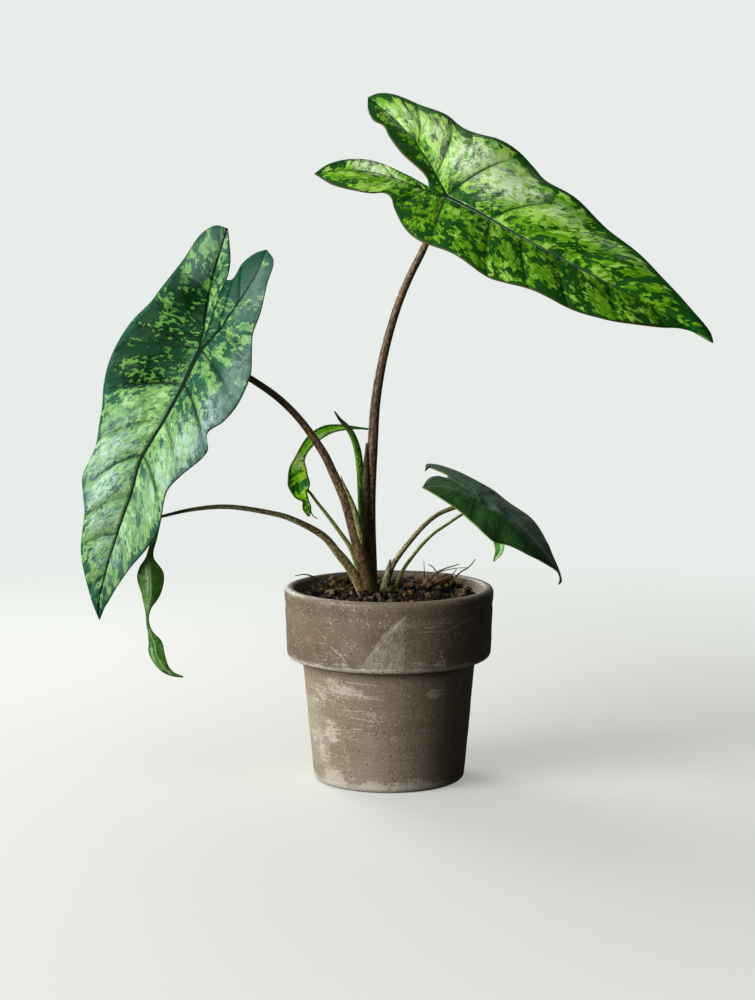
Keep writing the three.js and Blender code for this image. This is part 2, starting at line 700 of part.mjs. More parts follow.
// A stalk ends just below the blade that it carries: the room above the blade's underside is cut from it.
const roomOver = (surface) => thinSheet(surface, 4, BLADE.thickness / 2 + GAP);

const arrowSurfaces = Object.fromEntries(
  Object.entries(ARROW_BLADES).map(([name, leaf]) => [name, arrowBlade(leaf)]),
);
const curledSurface = ribbonBlade(RIBBON_BLADES.curled_blade);
const BLADE_OF_STALK = {
  tall_petiole: arrowSurfaces.tall_blade,
  left_petiole: arrowSurfaces.left_blade,
  right_petiole: arrowSurfaces.right_blade,
  curled_petiole: curledSurface,
};

const corm = makeCorm();
const cormRoom = toSolid(toGeometry(corm)).warp((p) => {
  p[0] += (GAP * (p[0] - CORM.x)) / CORM.radius;
  p[1] += (GAP * (p[1] - CORM.y)) / CORM.radius;
  p[2] += p[2] > (CORM.top + CORM.bottom) / 2 ? GAP : -GAP;
});

const stalkRooms = [];
for (const [name, stalk] of Object.entries(STALKS)) {
  const size = { sides: stalk.radii[0] > 2 ? 10 : 7 };
  const shape = (grow) => {
    const tube = sweptTube(stalk.route, stalk.radii, { ...size, grow });
    return stalk.sheath
      ? tube.add(sweptTube(stalk.sheath.route, stalk.sheath.radii, { sides: 6, steps: 7, grow }))
      : tube;
  };
  let solid = cutClear(shape(0), stalkRooms);
  if (BLADE_OF_STALK[name]) {
    solid = solid.subtract(roomOver(BLADE_OF_STALK[name]));
  }
  stalkRooms.push(shape(GAP));
  addPiece(name, solid.subtract(cormRoom), stalk.colour, 0.6);
}

for (const [name, leaf] of Object.entries(ARROW_BLADES)) {
  addPiece(name, thinSheet(arrowSurfaces[name]), leaf.colour, 0.35);
}
for (const [name, leaf] of Object.entries(RIBBON_BLADES)) {
  addPiece(name, thinSheet(ribbonBlade(leaf)), leaf.colour, 0.4);
}

addPiece("pot", makePot(), COLOURS.clay, 0.85);
addPiece("corm", corm, COLOURS.corm, 0.9);
addPiece("soil", cutClear(makeSoil(), [cormRoom, ...stalkRooms]), COLOURS.soil, 1);

const bounds = new THREE.Box3().setFromObject(plant);
const middle = bounds.getCenter(new THREE.Vector3());
plant.position.set(-middle.x, -middle.y, -bounds.min.z);

export default plant;
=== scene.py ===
"""The looks of a potted aroid: clay pot, soil, stalks and mottled arrow-shaped leaves.

Lengths in the lists are millimetres about the pot's own axis, with +X to the right, +Y away from the
viewer and +Z up. spot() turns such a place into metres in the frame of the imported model.
"""

import math
import random
from bisect import bisect_right

import bpy
import numpy as np
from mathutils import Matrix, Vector, noise


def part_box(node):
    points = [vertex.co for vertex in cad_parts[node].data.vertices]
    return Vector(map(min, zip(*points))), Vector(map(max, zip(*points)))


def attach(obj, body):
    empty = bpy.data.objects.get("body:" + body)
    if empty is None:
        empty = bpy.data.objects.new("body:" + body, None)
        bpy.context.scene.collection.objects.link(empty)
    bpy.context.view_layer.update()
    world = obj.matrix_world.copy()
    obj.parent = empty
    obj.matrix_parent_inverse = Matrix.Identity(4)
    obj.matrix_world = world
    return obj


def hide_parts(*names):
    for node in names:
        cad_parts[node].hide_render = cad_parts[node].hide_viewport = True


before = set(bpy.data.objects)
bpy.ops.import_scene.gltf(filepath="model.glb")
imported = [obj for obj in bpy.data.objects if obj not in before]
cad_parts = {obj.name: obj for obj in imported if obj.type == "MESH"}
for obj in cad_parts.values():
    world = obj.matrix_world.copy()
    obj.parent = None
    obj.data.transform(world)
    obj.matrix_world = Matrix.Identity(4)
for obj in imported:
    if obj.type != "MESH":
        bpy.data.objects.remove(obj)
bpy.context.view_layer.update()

MM = 0.001
BODY = "root"
pot_low, pot_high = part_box("pot")
POT_AXIS = Vector(((pot_low.x + pot_high.x) / 2, (pot_low.y + pot_high.y) / 2, 0))
EYE = (-6.6, -1338, 331)  # the viewer's place
EYE_TILT = 7.24  # degrees down


# Places, lines and grids


def spot(point):
    """A place in mm about the pot's axis, as metres in the frame."""
    return Vector(point) * MM + POT_AXIS


def lerp(a, b, t):
    return a + (b - a) * t


def spread(values, t):
    """Value at fraction t of a list that lies evenly from 0 to 1, smoothed between its entries."""
    place = min(max(t, 0), 1) * (len(values) - 1)
    low = min(int(place), len(values) - 2)
    before, start, end, after = (values[min(max(low + k, 0), len(values) - 1)] for k in (-1, 0, 1, 2))
    f = place - low
    bend = 2 * before - 5 * start + 4 * end - after + f * (3 * (start - end) + after - before)
    return start + 0.5 * f * (end - before + f * bend)


def between(four, t):
    """Place at fraction t between the middle two of four points (centripetal Catmull-Rom)."""
    p0, p1, p2, p3 = four
    d0, d1, d2 = ((b - a).length ** 0.5 for a, b in zip(four, four[1:]))
    leave = ((p1 - p0) / d0 - (p2 - p0) / (d0 + d1) + (p2 - p1) / d1) * d1
    arrive = ((p2 - p1) / d1 - (p3 - p1) / (d1 + d2) + (p3 - p2) / d2) * d1
    square, cube = 3 * (p2 - p1) - 2 * leave - arrive, 2 * (p1 - p2) + leave + arrive
    return p1 + leave * t + square * t**2 + cube * t**3


class SmoothLine:
    """A smooth line through points, with places on it given as fractions of its length."""

    def __init__(self, points, parts=14):
        knots = [Vector(p).to_3d() for p in points]
        knots = [2 * knots[0] - knots[1], *knots, 2 * knots[-1] - knots[-2]]
        self.places = [knots[1]]
        for four in zip(knots, knots[1:], knots[2:], knots[3:]):
            self.places += [between(four, k / parts) for k in range(1, parts + 1)]
        self.marks = [0.0]
        for a, b in zip(self.places, self.places[1:]):
            self.marks.append(self.marks[-1] + (b - a).length)
        self.length = self.marks[-1]

    def at(self, t):
        mark = min(max(t, 0), 1) * self.length
        k = min(bisect_right(self.marks, mark), len(self.marks) - 1)
        share = (mark - self.marks[k - 1]) / (self.marks[k] - self.marks[k - 1])
        return self.places[k - 1].lerp(self.places[k], share)

    def tangent(self, t):
        return (self.at(t + 0.005) - self.at(t - 0.005)).normalized()

    def fraction_near(self, point):
        point = Vector(point).to_3d()
        k = min(range(len(self.places)), key=lambda i: (self.places[i] - point).length)
        return self.marks[k] / self.length


def bent_grid(name, places, maps):
    """A grid moved corner by corner to places[row, column], in mm, with its UV maps."""
    rows, columns = places.shape[0] - 1, places.shape[1] - 1
    bpy.ops.object.select_all(action="DESELECT")
    bpy.ops.mesh.primitive_grid_add(x_subdivisions=columns, y_subdivisions=rows, size=1, calc_uvs=False)
    piece = bpy.context.object
    piece.name = name
    mesh = piece.data
    corners = [(round((v.co.y + 0.5) * rows), round((v.co.x + 0.5) * columns)) for v in mesh.vertices]
    mesh.vertices.foreach_set("co", [x for k, i in corners for x in spot(places[k, i])])
    vertex_of = np.empty(len(mesh.loops), int)
    mesh.loops.foreach_get("vertex_index", vertex_of)
    for layer_name, pairs in maps.items():
        values = np.array([pairs[k, i] for k, i in corners])
        layer = mesh.uv_layers.new(name=layer_name)
        layer.uv.foreach_set("vector", values[vertex_of].ravel())
    mesh.update()
    return piece


def select(*pieces):
    """Selects these pieces alone, with the first as the active one."""
    bpy.ops.object.select_all(action="DESELECT")
    for piece in pieces:
        piece.select_set(True)
    bpy.context.view_layer.objects.active = pieces[0]


def edit_all(piece, operator, **settings):
    """Applies one mesh operator to the whole of a piece."""
    select(piece)
    bpy.ops.object.mode_set(mode="EDIT")
    bpy.ops.mesh.select_all(action="SELECT")
    operator(**settings)
    bpy.ops.object.mode_set(mode="OBJECT")


def joined(pieces, merge=0.02):
    """Joins pieces into the first, and merges corners that lie within that many mm of each other."""
    select(*pieces)
    if len(pieces) > 1:
        bpy.ops.object.join()
    edit_all(pieces[0], bpy.ops.mesh.remove_doubles, threshold=merge * MM)
    return pieces[0]


def face_out(piece):
    """Turns the faces of a closed piece outwards."""
    edit_all(piece, bpy.ops.mesh.normals_make_consistent, inside=False)


def apply_modifier(piece, kind, **settings):
    """Adds a modifier and applies it."""
    select(piece)
    modifier = piece.modifiers.new(kind.title(), kind)
    for key, value in settings.items():
        setattr(modifier, key, value)
    bpy.ops.object.modifier_apply(modifier=modifier.name)


def finish_piece(piece, finishes, stands_for=(), smooth=True):
    """Gives a piece its finishes, its body and the CAD nodes that it stands for."""
    select(piece)
    bpy.ops.object.transform_apply(location=True, rotation=True, scale=True)
    if smooth:
        bpy.ops.object.shade_smooth()
    piece.data.name = piece.name
    keep = [p.material_index for p in piece.data.polygons]
    piece.data.materials.clear()
    for made in finishes:
        piece.data.materials.append(made)
    for face, index in zip(piece.data.polygons, keep):
        face.material_index = index
    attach(piece, BODY)
    if stands_for:
        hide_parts(*stands_for)


# Procedural finishes


def tint(hex_colour):
    """A colour as Blender's sockets take it, from its usual six hexadecimal digits."""
    parts = [int(hex_colour[k : k + 2], 16) / 255 for k in (1, 3, 5)]
    return (*(p / 12.92 if p <= 0.04045 else ((p + 0.055) / 1.055) ** 2.4 for p in parts), 1)


class Finish:
    """One material, built node by node."""

    def __init__(self, name, tree=None):
        if tree is None:
            self.material = bpy.data.materials.new(name)
            self.material.use_nodes = True
            tree = self.material.node_tree
        self.tree = tree
        self.tree.nodes.clear()

    def add(self, kind, inputs=None, **settings):
        node = self.tree.nodes.new("ShaderNode" + kind)
        for key, value in settings.items():
            setattr(node, key, value)
        for key, value in (inputs or {}).items():
            if isinstance(value, bpy.types.NodeSocket):
                self.tree.links.new(value, node.inputs[key])
            elif value is not None:
                node.inputs[key].default_value = value
        return node

    def uv(self, name):
        return self.add("UVMap", uv_map=name).outputs[0]

    def place(self):
        return self.add("TexCoord").outputs["Object"]

    def parts(self, vector):
        return self.add("SeparateXYZ", {0: vector}).outputs

    def vector(self, x, y, z=0.0):
        return self.add("CombineXYZ", {0: x, 1: y, 2: z}).outputs[0]

    def scaled(self, vector, scale, shift=(0, 0, 0)):
        return self.add("Mapping", {"Vector": vector, "Scale": scale, "Location": shift}).outputs[0]

    def maths(self, operation, a, b=None, c=None):
        return self.add("Math", {0: a, 1: b, 2: c}, operation=operation).outputs[0]

    def times(self, first, *more):
        """The product of the values."""
        for value in more:
            first = self.maths("MULTIPLY", first, value)
        return first

    def noise(self, vector, scale, detail=4.0, roughness=0.55, distortion=0.0):
        inputs = {"Vector": vector, "Scale": scale, "Detail": detail}
        inputs.update({"Roughness": roughness, "Distortion": distortion})
        return self.add("TexNoise", inputs).outputs[0]

    def cells(self, vector, scale, feature="F1", output="Distance"):
        return self.add("TexVoronoi", {"Vector": vector, "Scale": scale}, feature=feature).outputs[output]

    def shards(self, vector):
        """A random value for each of the angular cells that fill the plane."""
        return self.parts(self.cells(vector, 1.0, output="Color"))[0]

    def warped(self, vector, scale, reach):
        """A vector shifted this way and that by up to half of reach, for ragged edges."""
        push = self.add("TexNoise", {"Vector": vector, "Scale": scale, "Detail": 2.0}).outputs["Color"]
        inputs = {0: push, 1: (reach,) * 3, 2: vector}
        return self.add("VectorMath", inputs, operation="MULTIPLY_ADD").outputs[0]

    def total(self, start, *weighted):
        """start plus each of the (value, weight) pairs, multiplied out."""
        for value, weight in weighted:
            start = self.maths("MULTIPLY_ADD", value, weight, start)
        return start

    def band(self, value, low, high):
        """0 below low, 1 above high, with a soft step between; the other way round if low is above high."""
        if low > high:
            return self.maths("SUBTRACT", 1.0, self.band(value, high, low))
        inputs = {0: value, 1: low, 2: high}
        return self.add("MapRange", inputs, interpolation_type="SMOOTHSTEP").outputs[0]

    def blob(self, flat, centre, radii, core=0.4):
        """1 inside an oval on a flat map, fading to 0 at its edge."""
        shift = tuple(-c / r for c, r in zip(centre, radii))
        local = self.scaled(flat, (1 / radii[0], 1 / radii[1], 1), (*shift, 0))
        reach = self.add("VectorMath", {0: local}, operation="LENGTH").outputs["Value"]
        return self.band(reach, 1.0, core)

    def blobs(self, flat, ovals, core=0.4, start=0.0):
        """start plus the ovals, each with its centre, radii and weight."""
        return self.total(start, *((self.blob(flat, *oval, core), weight) for *oval, weight in ovals))

    def mix(self, share, a, b):
        a, b = (tint(c) if isinstance(c, str) else c for c in (a, b))
        return self.add("Mix", {0: share, 6: a, 7: b}, data_type="RGBA").outputs[2]

    def over(self, tone, colour, *shares):
        """A colour laid over a tone, as far as the product of the shares says."""
        return self.mix(self.times(*shares), tone, colour)

    def bump(self, height, depth):
        """depth is how far, in mm, the height's full range stands out."""
        return self.add("Bump", {"Height": height, "Distance": depth * MM}).outputs[0]

    def skin(self, colour, roughness, normal=None, **numbers):
        """The finished material, with further inputs of the shader by name."""
        inputs = {"Base Color": colour, "Roughness": roughness, "Normal": normal}
        inputs.update({key.replace("_", " "): value for key, value in numbers.items()})
        self.add("OutputMaterial", {"Surface": self.add("BsdfPrincipled", inputs).outputs[0]})
        return self.material


# Large leaves

# Each is drawn flat, as [along, across] in mm from where its stalk joins it, and then bent. A half has its
# lobe vein, its margin between tip and lobe end, and the edge of the notch up to the lobe end. Its side veins
# run from the midrib's roots, and then the lobe's, to their ends on the margin, as clear as strengths says.
LEAVES = {
    "tall_blade": {
        "joint": (32.2, -8, 332.7), "tip": (177.6, -45, 253.9), "across": (0.465, 0.643, 0.609),
        "arch": {"height": 5, "middle": 60, "reach": 110}, "fold": {"rise": 0.28, "curl": 0.0033},
        "wave": {"height": 1.8, "length": 52, "width": 45, "phase": 1.3}, "quilt": (1.7, 0.8),
        "dents": [((70, 14), (22, 9), -1.2), ((20, 24), (16, 10), 1.2), ((-30, 30), (10, 8), -1.0)],
        "midrib": [(169, 2), (135, 1), (108, 0), (75, -1), (45, -1), (22, 0), (0, 0)],
        "midrib_roots": [(132, 1), (104, 0), (72, -1), (50, -1), (28, 0)],
        "halves": [
            {
                "lobe": [(0, 0), (-13, 11), (-32, 25), (-53, 36), (-75, 43)],
                "margin": [
                    (165, 6), (150, 12), (130, 19), (110, 25), (90, 29), (65, 37), (42, 39), (30, 46),
                    (20, 50), (5, 50), (-5, 48), (-16, 48), (-29, 52), (-44, 51), (-63, 51), (-71, 48),
                ],
                "notch": [
                    (-12, 0), (-15, 4), (-20, 7), (-36, 12), (-49, 20), (-56, 26), (-62, 26), (-69, 32),
                ],
                "lobe_roots": [(-13, 11), (-32, 25)],
                "vein_ends": [(148, 12), (126, 20), (107, 26), (86, 30), (65, 37), (-22, 50), (-48, 51)],
                "strengths": [0, 0.2, 0.3, 0.35, 0.45, 0.8, 1, 0.7, 0.4, 0],
            },
            {
                "lobe": [(0, 0), (-13, -3), (-31, -5), (-50, -11), (-70, -27)],
                "margin": [
                    (160, 2), (150, -2), (140, -11), (120, -25), (110, -29), (93, -34), (70, -37),
                    (57, -40), (47, -42), (25, -41), (5, -42), (-6, -39), (-18, -30), (-25, -22),
                    (-29, -21), (-35, -26), (-44, -29), (-57, -31),
                ],
                "notch": [(-12, 0), (-25, 0.5), (-45, -1), (-53, -4), (-61, -10), (-67, -18)],
                "lobe_roots": [(-13, -3), (-31, -5)],
                "vein_ends": [
                    (143, -8), (122, -24), (93, -34), (70, -37), (47, -42), (-19, -29), (-40, -29),
                ],
                "strengths": [0, 0.2, 0.3, 0.3, 0.5, 0.8, 0.9, 0.5, 0.3, 0],
            },
        ],
    },
    "left_blade": {
        "joint": (-105.7, -20, 247.9), "tip": (-165, -14, 95.7), "across": (0.78, -0.45, -0.4),
        "arch": {"height": 14, "middle": 75, "reach": 85}, "fold": {"rise": 0.24, "curl": 0.003},
        "wave": {"height": 2.2, "length": 44, "width": 42, "phase": 1.3}, "quilt": (1.6, 1.8),
        "dents": [
            ((-8, -14), (26, 12), -4.0), ((28, -13), (16, 11), -3.0), ((-22, -30), (10, 8), 1.8),
            ((95, -14), (24, 10), 2.0), ((48, 22), (22, 9), 1.6), ((-44, -10), (10, 6), -1.6),
        ],
        "midrib": [(166, -2), (151, -4), (121, -3), (86, -2), (69, -4), (56, -2), (41, 0), (21, 1), (0, 0)],
        "midrib_roots": [(141, -4), (114, -3), (91, -2), (66, -3), (43, 0), (21, 1)],
        "halves": [
            {
                "lobe": [(0, 0), (-12, 4), (-30, 6), (-48, 6), (-64, 2)],
                "margin": [
                    (159, 0), (151, 3), (131, 11), (114, 19), (98, 24), (77, 21), (67, 25), (51, 35),
                    (46, 36), (38, 31), (29, 36), (12, 40), (0, 39), (-12, 31), (-20, 26), (-32, 23),
                    (-48, 16), (-60, 11),
                ],
                "notch": [(-40, -9), (-42, -5), (-52, -5), (-60, -2)], "lobe_roots": [(-14, 4), (-32, 6)],
                "vein_ends": [
                    (153, 2), (133, 10), (113, 19), (90, 23), (67, 25), (47, 36), (-12, 31), (-34, 22),
                ],
                "strengths": [0, 0.2, 0.25, 0.3, 0.9, 0.3, 1, 0.8, 0.3, 0.2, 0],
            },
            {
                "lobe": [(0, 0), (-12, -6), (-30, -14), (-50, -21), (-66, -27)],
                "margin": [
                    (158, -8), (144, -16), (131, -22), (109, -25), (101, -29), (91, -34), (71, -32),
                    (53, -37), (39, -44), (22, -45), (1, -46), (-15, -40), (-40, -38), (-58, -38),
                    (-65, -34),
                ],
                "notch": [(-40, -9), (-46, -11), (-52, -14), (-58, -19)],
                "lobe_roots": [(-14, -7), (-32, -14)],
                "vein_ends": [
                    (151, -12), (129, -22), (113, -25), (98, -31), (69, -32), (43, -43), (-15, -40),
                    (-36, -38),
                ],
                "strengths": [0, 0.2, 0.3, 0.3, 0.8, 0.25, 1, 0.5, 0.2, 0.2, 0],
            },
        ],
    },
    "right_blade": {
        "joint": (50.8, 0, 161.6), "tip": (98.6, -8, 114.9), "across": (0.2, 0.85, 0.38),
        "arch": {"height": 6, "middle": 30, "reach": 40}, "fold": {"rise": -0.04, "curl": 0.006},
        "wave": {"height": 1, "length": 30, "width": 24, "phase": 1.3}, "quilt": (0.1, 0.1),
        "dents": [
            ((6, 2), (4, 3.5), -2.4), ((19, 8), (6, 3), -1.6), ((30, -6), (18, 7), 1.6),
            ((44, 14), (8, 5), 0.8), ((-10, -10), (9, 5), 0.9), ((4, -12), (7, 6), -0.8),
        ],
        "midrib": [(67, -2), (65, 4), (60, 6), (40, 6), (22, 5), (10, 2), (0, 0)],
        "midrib_roots": [(50, 6), (36, 6), (20, 5)],
        "halves": [
            {
                "lobe": [(0, 0), (-10, 8), (-24, 12), (-32, 8), (-33, 0)],
                "margin": [
                    (67, 3), (63, 7), (50, 14), (42, 22), (35, 25), (20, 26), (12, 24), (-5, 20), (-22, 16),
                    (-31, 13), (-35, 9),
                ],
                "notch": [(-21, 4), (-22, 7), (-29, 7), (-33, 6)], "lobe_roots": [(-10, 8)],
                "vein_ends": [(55, 11), (45, 20), (29, 26), (-13, 18)],
                "strengths": [0, 0, 0, 0.2, 0, 0, 0],
            },
            {
                "lobe": [(0, 0), (-12, -5), (-21, -11), (-27, -20)],
                "margin": [
                    (66, 2), (62, 5), (52, -1), (42, -9), (30, -14), (22, -20), (15, -22), (8, -21),
                    (-2, -19), (-14, -20),
                ],
                "notch": [(-21, 4), (-25, 2), (-28, -5)], "lobe_roots": [(-8, -3)],
                "vein_ends": [(54, 0), (42, -9), (26, -17), (-10, -20)], "strengths": [0, 0, 0, 0, 0, 0, 0],
            },
        ],
    },
}

LEAF_THICKNESS = 0.8
VEIN_SWEEP = 1.4  # how far side veins lean towards the tip on their way out
MIDRIB_ROWS, LOBE_ROWS = 150, 60
OUTER_COLUMNS, NOTCH_COLUMNS = 30, 10
HALF_SHIFT = 20  # keeps the two halves' patterns apart, in side veins
VEIN_STEP = 24.0  # mm of pattern from one side vein to the next
BROAD, SHARD = (0.1, 0.06, 1), (0.22, 0.13, 1)  # how close the broad noise and the shards lie
RAGGED = 3.8  # mm that the patches' edges wander
# Colour of the painted glints, and of the tall leaf's painted rib highlight
PAINTED_GLINT = "#f4fbec"


def distance_to(line, points):
    """Distance in mm of every flat point from a smooth line."""
    stops = np.array([line.at(k / 24).xy for k in range(25)])
    start, span = stops[:-1], np.diff(stops, axis=0)
    away = points[:, :, None] - start
    share = np.clip((away * span).sum(-1) / (span**2).sum(-1), 0, 1)
    return np.linalg.norm(away - share[..., None] * span, axis=-1).min(-1)


def leaf_places(leaf, flat, lines, side, grain):
    """Bends flat points: arched lengthwise, folded up from the veins, quilted and waved."""
    lengthwise = (Vector(leaf["tip"]) - Vector(leaf["joint"])).normalized()
    crosswise = Vector(leaf["across"])
    crosswise = (crosswise - crosswise.dot(lengthwise) * lengthwise).normalized()
    outward = lengthwise.cross(crosswise)

    arch, fold, wave = leaf["arch"], leaf["fold"], leaf["wave"]
    along, across = flat[..., 0], flat[..., 1]
    near = np.stack([distance_to(line, flat) for line in lines]) + 1e-6
    # The nearest vein counts, with the ridge between two veins softened
    away = (near**-8.0).sum(0) ** (-1 / 8)
    low = arch["height"] * (1 - (arch["middle"] / arch["reach"]) ** 2)
    rise = arch["height"] * (1 - ((along - arch["middle"]) / arch["reach"]) ** 2) - low
    rise += fold["rise"] * away - fold["curl"] * away**2
    turn = 2 * np.pi * along / wave["length"] + side * wave["phase"]
    rise += abs(side) * wave["height"] * (away / wave["width"]) ** 2 * np.sin(turn)
    share = np.abs(grain[..., 1])
    quilt = leaf["quilt"][0 if side > 0 else 1] * abs(side)
    rise += quilt * np.abs(np.sin(np.pi * grain[..., 0])) ** 0.8 * 4 * share * (1 - share)
    for centre, radii, height in leaf["dents"]:
        reach = ((along - centre[0]) / radii[0]) ** 2 + ((across - centre[1]) / radii[1]) ** 2
        rise += height * np.exp(-reach)
    return (
        np.array(leaf["joint"])
        + along[..., None] * np.array(lengthwise)
        + across[..., None] * np.array(crosswise)
        + rise[..., None] * np.array(outward)
    )


def leaf_patches(name, leaf):
    """A large leaf's patches: for each half, the blade outside its veins and the strip beside the notch."""
    midrib = SmoothLine(leaf["midrib"])
    lines = [midrib] + [SmoothLine(half["lobe"]) for half in leaf["halves"]]
    roots = [midrib.fraction_near(root) for root in leaf["midrib_roots"]]
    joint = len(roots) + 1
    down = np.concatenate([np.linspace(0, 1, MIDRIB_ROWS + 1), np.linspace(1, 2, LOBE_ROWS + 1)[1:]])
    patches = []
    for number, half in enumerate(leaf["halves"]):
        side = 1 - 2 * number
        lobe, lobe_end = lines[1 + number], half["lobe"][-1]
        margin = SmoothLine([leaf["midrib"][0], *half["margin"], lobe_end])
        notch = SmoothLine([*half["notch"], lobe_end])
        starts = [0, *roots, 1, *(1 + lobe.fraction_near(root) for root in half["lobe_roots"]), 2]
        ends = [0, *(margin.fraction_near(end) for end in half["vein_ends"]), 1]
        ends.insert(joint, (ends[joint - 1] + ends[joint]) / 2)
        edge = np.interp(down, starts, ends)
        vein = np.interp(down, starts, range(len(starts)))

        root = np.array([(midrib.at(t) if t <= 1 else lobe.at(t - 1)).xy for t in down])
        rim = np.array([margin.at(t).xy for t in edge])
        share = np.linspace(0, 1, OUTER_COLUMNS + 1)
        flat = root[:, None] + (rim - root)[:, None] * np.stack([share**VEIN_SWEEP, share], axis=-1)
        drawn = np.array(half["strengths"])[np.rint(vein).astype(int)]
        patches.append(leaf_patch(name, leaf, lines, flat, side, vein, share, drawn))

        lobe_rows = slice(MIDRIB_ROWS, None)
        root = root[lobe_rows]
        rim = np.array([notch.at(t - 1).xy for t in down[lobe_rows]])
        share = np.linspace(0, 1, NOTCH_COLUMNS + 1)
        flat = root[:, None] + (rim - root)[:, None] * share[:, None]
        shifted = vein[lobe_rows] + 2 * HALF_SHIFT * side
        patches.append(leaf_patch(name, leaf, lines, flat, 0, shifted, -share, drawn[lobe_rows]))
    return patches


def leaf_patch(name, leaf, lines, flat, side, vein, share, drawn):
    """One patch as a grid, with the maps that its pattern follows.

    These are the flat place, the place among the veins, the size of a panel and how clear its side vein is.
    """
    grain = np.stack(np.broadcast_arrays(vein[:, None] - (side < 0) * HALF_SHIFT, share), axis=-1)
    apart = np.linalg.norm(np.gradient(flat, axis=0), axis=-1) / np.abs(np.gradient(vein))[:, None]
    reach = np.linalg.norm(flat[:, -1] - flat[:, 0], axis=-1)
    span = np.stack(np.broadcast_arrays(apart, reach[:, None]), axis=-1)
    drawn = np.stack(np.broadcast_arrays(drawn[:, None], share * 0), axis=-1)
    places = leaf_places(leaf, flat, lines, side, grain)
    return bent_grid(name, places, {"flat": flat, "grain": grain, "span": span, "drawn": drawn})


def towards(piece, point):
    """Turns an open sheet's faces, taken together, towards a point given in mm."""
    centre = sum((f.center * f.area for f in piece.data.polygons), Vector())
    centre /= sum(f.area for f in piece.data.polygons)
    facing = sum((f.normal * f.area for f in piece.data.polygons), Vector())
    if facing.dot(spot(point) - centre) < 0:
        piece.data.flip_normals()


def leaf_maps(f):
    """Where a point of a blade lies.

    These are its number among the side veins, its share of the way out, the mm from rib to margin and from
    the rib, its turn between two side veins, the mm from the nearer of them, and the pattern's own place.
    """
    vein, share, _ = f.parts(f.uv("grain"))
    apart, reach, _ = f.parts(f.uv("span"))
    off_rib = f.times(f.maths("ABSOLUTE", share), reach)
    turn = f.maths("ABSOLUTE", f.maths("SUBTRACT", f.maths("FRACT", f.maths("ADD", vein, 0.5)), 0.5))
    grain = f.vector(f.times(vein, VEIN_STEP), off_rib)  # about 1 mm each way
    return vein, share, reach, off_rib, turn, f.times(turn, apart), grain


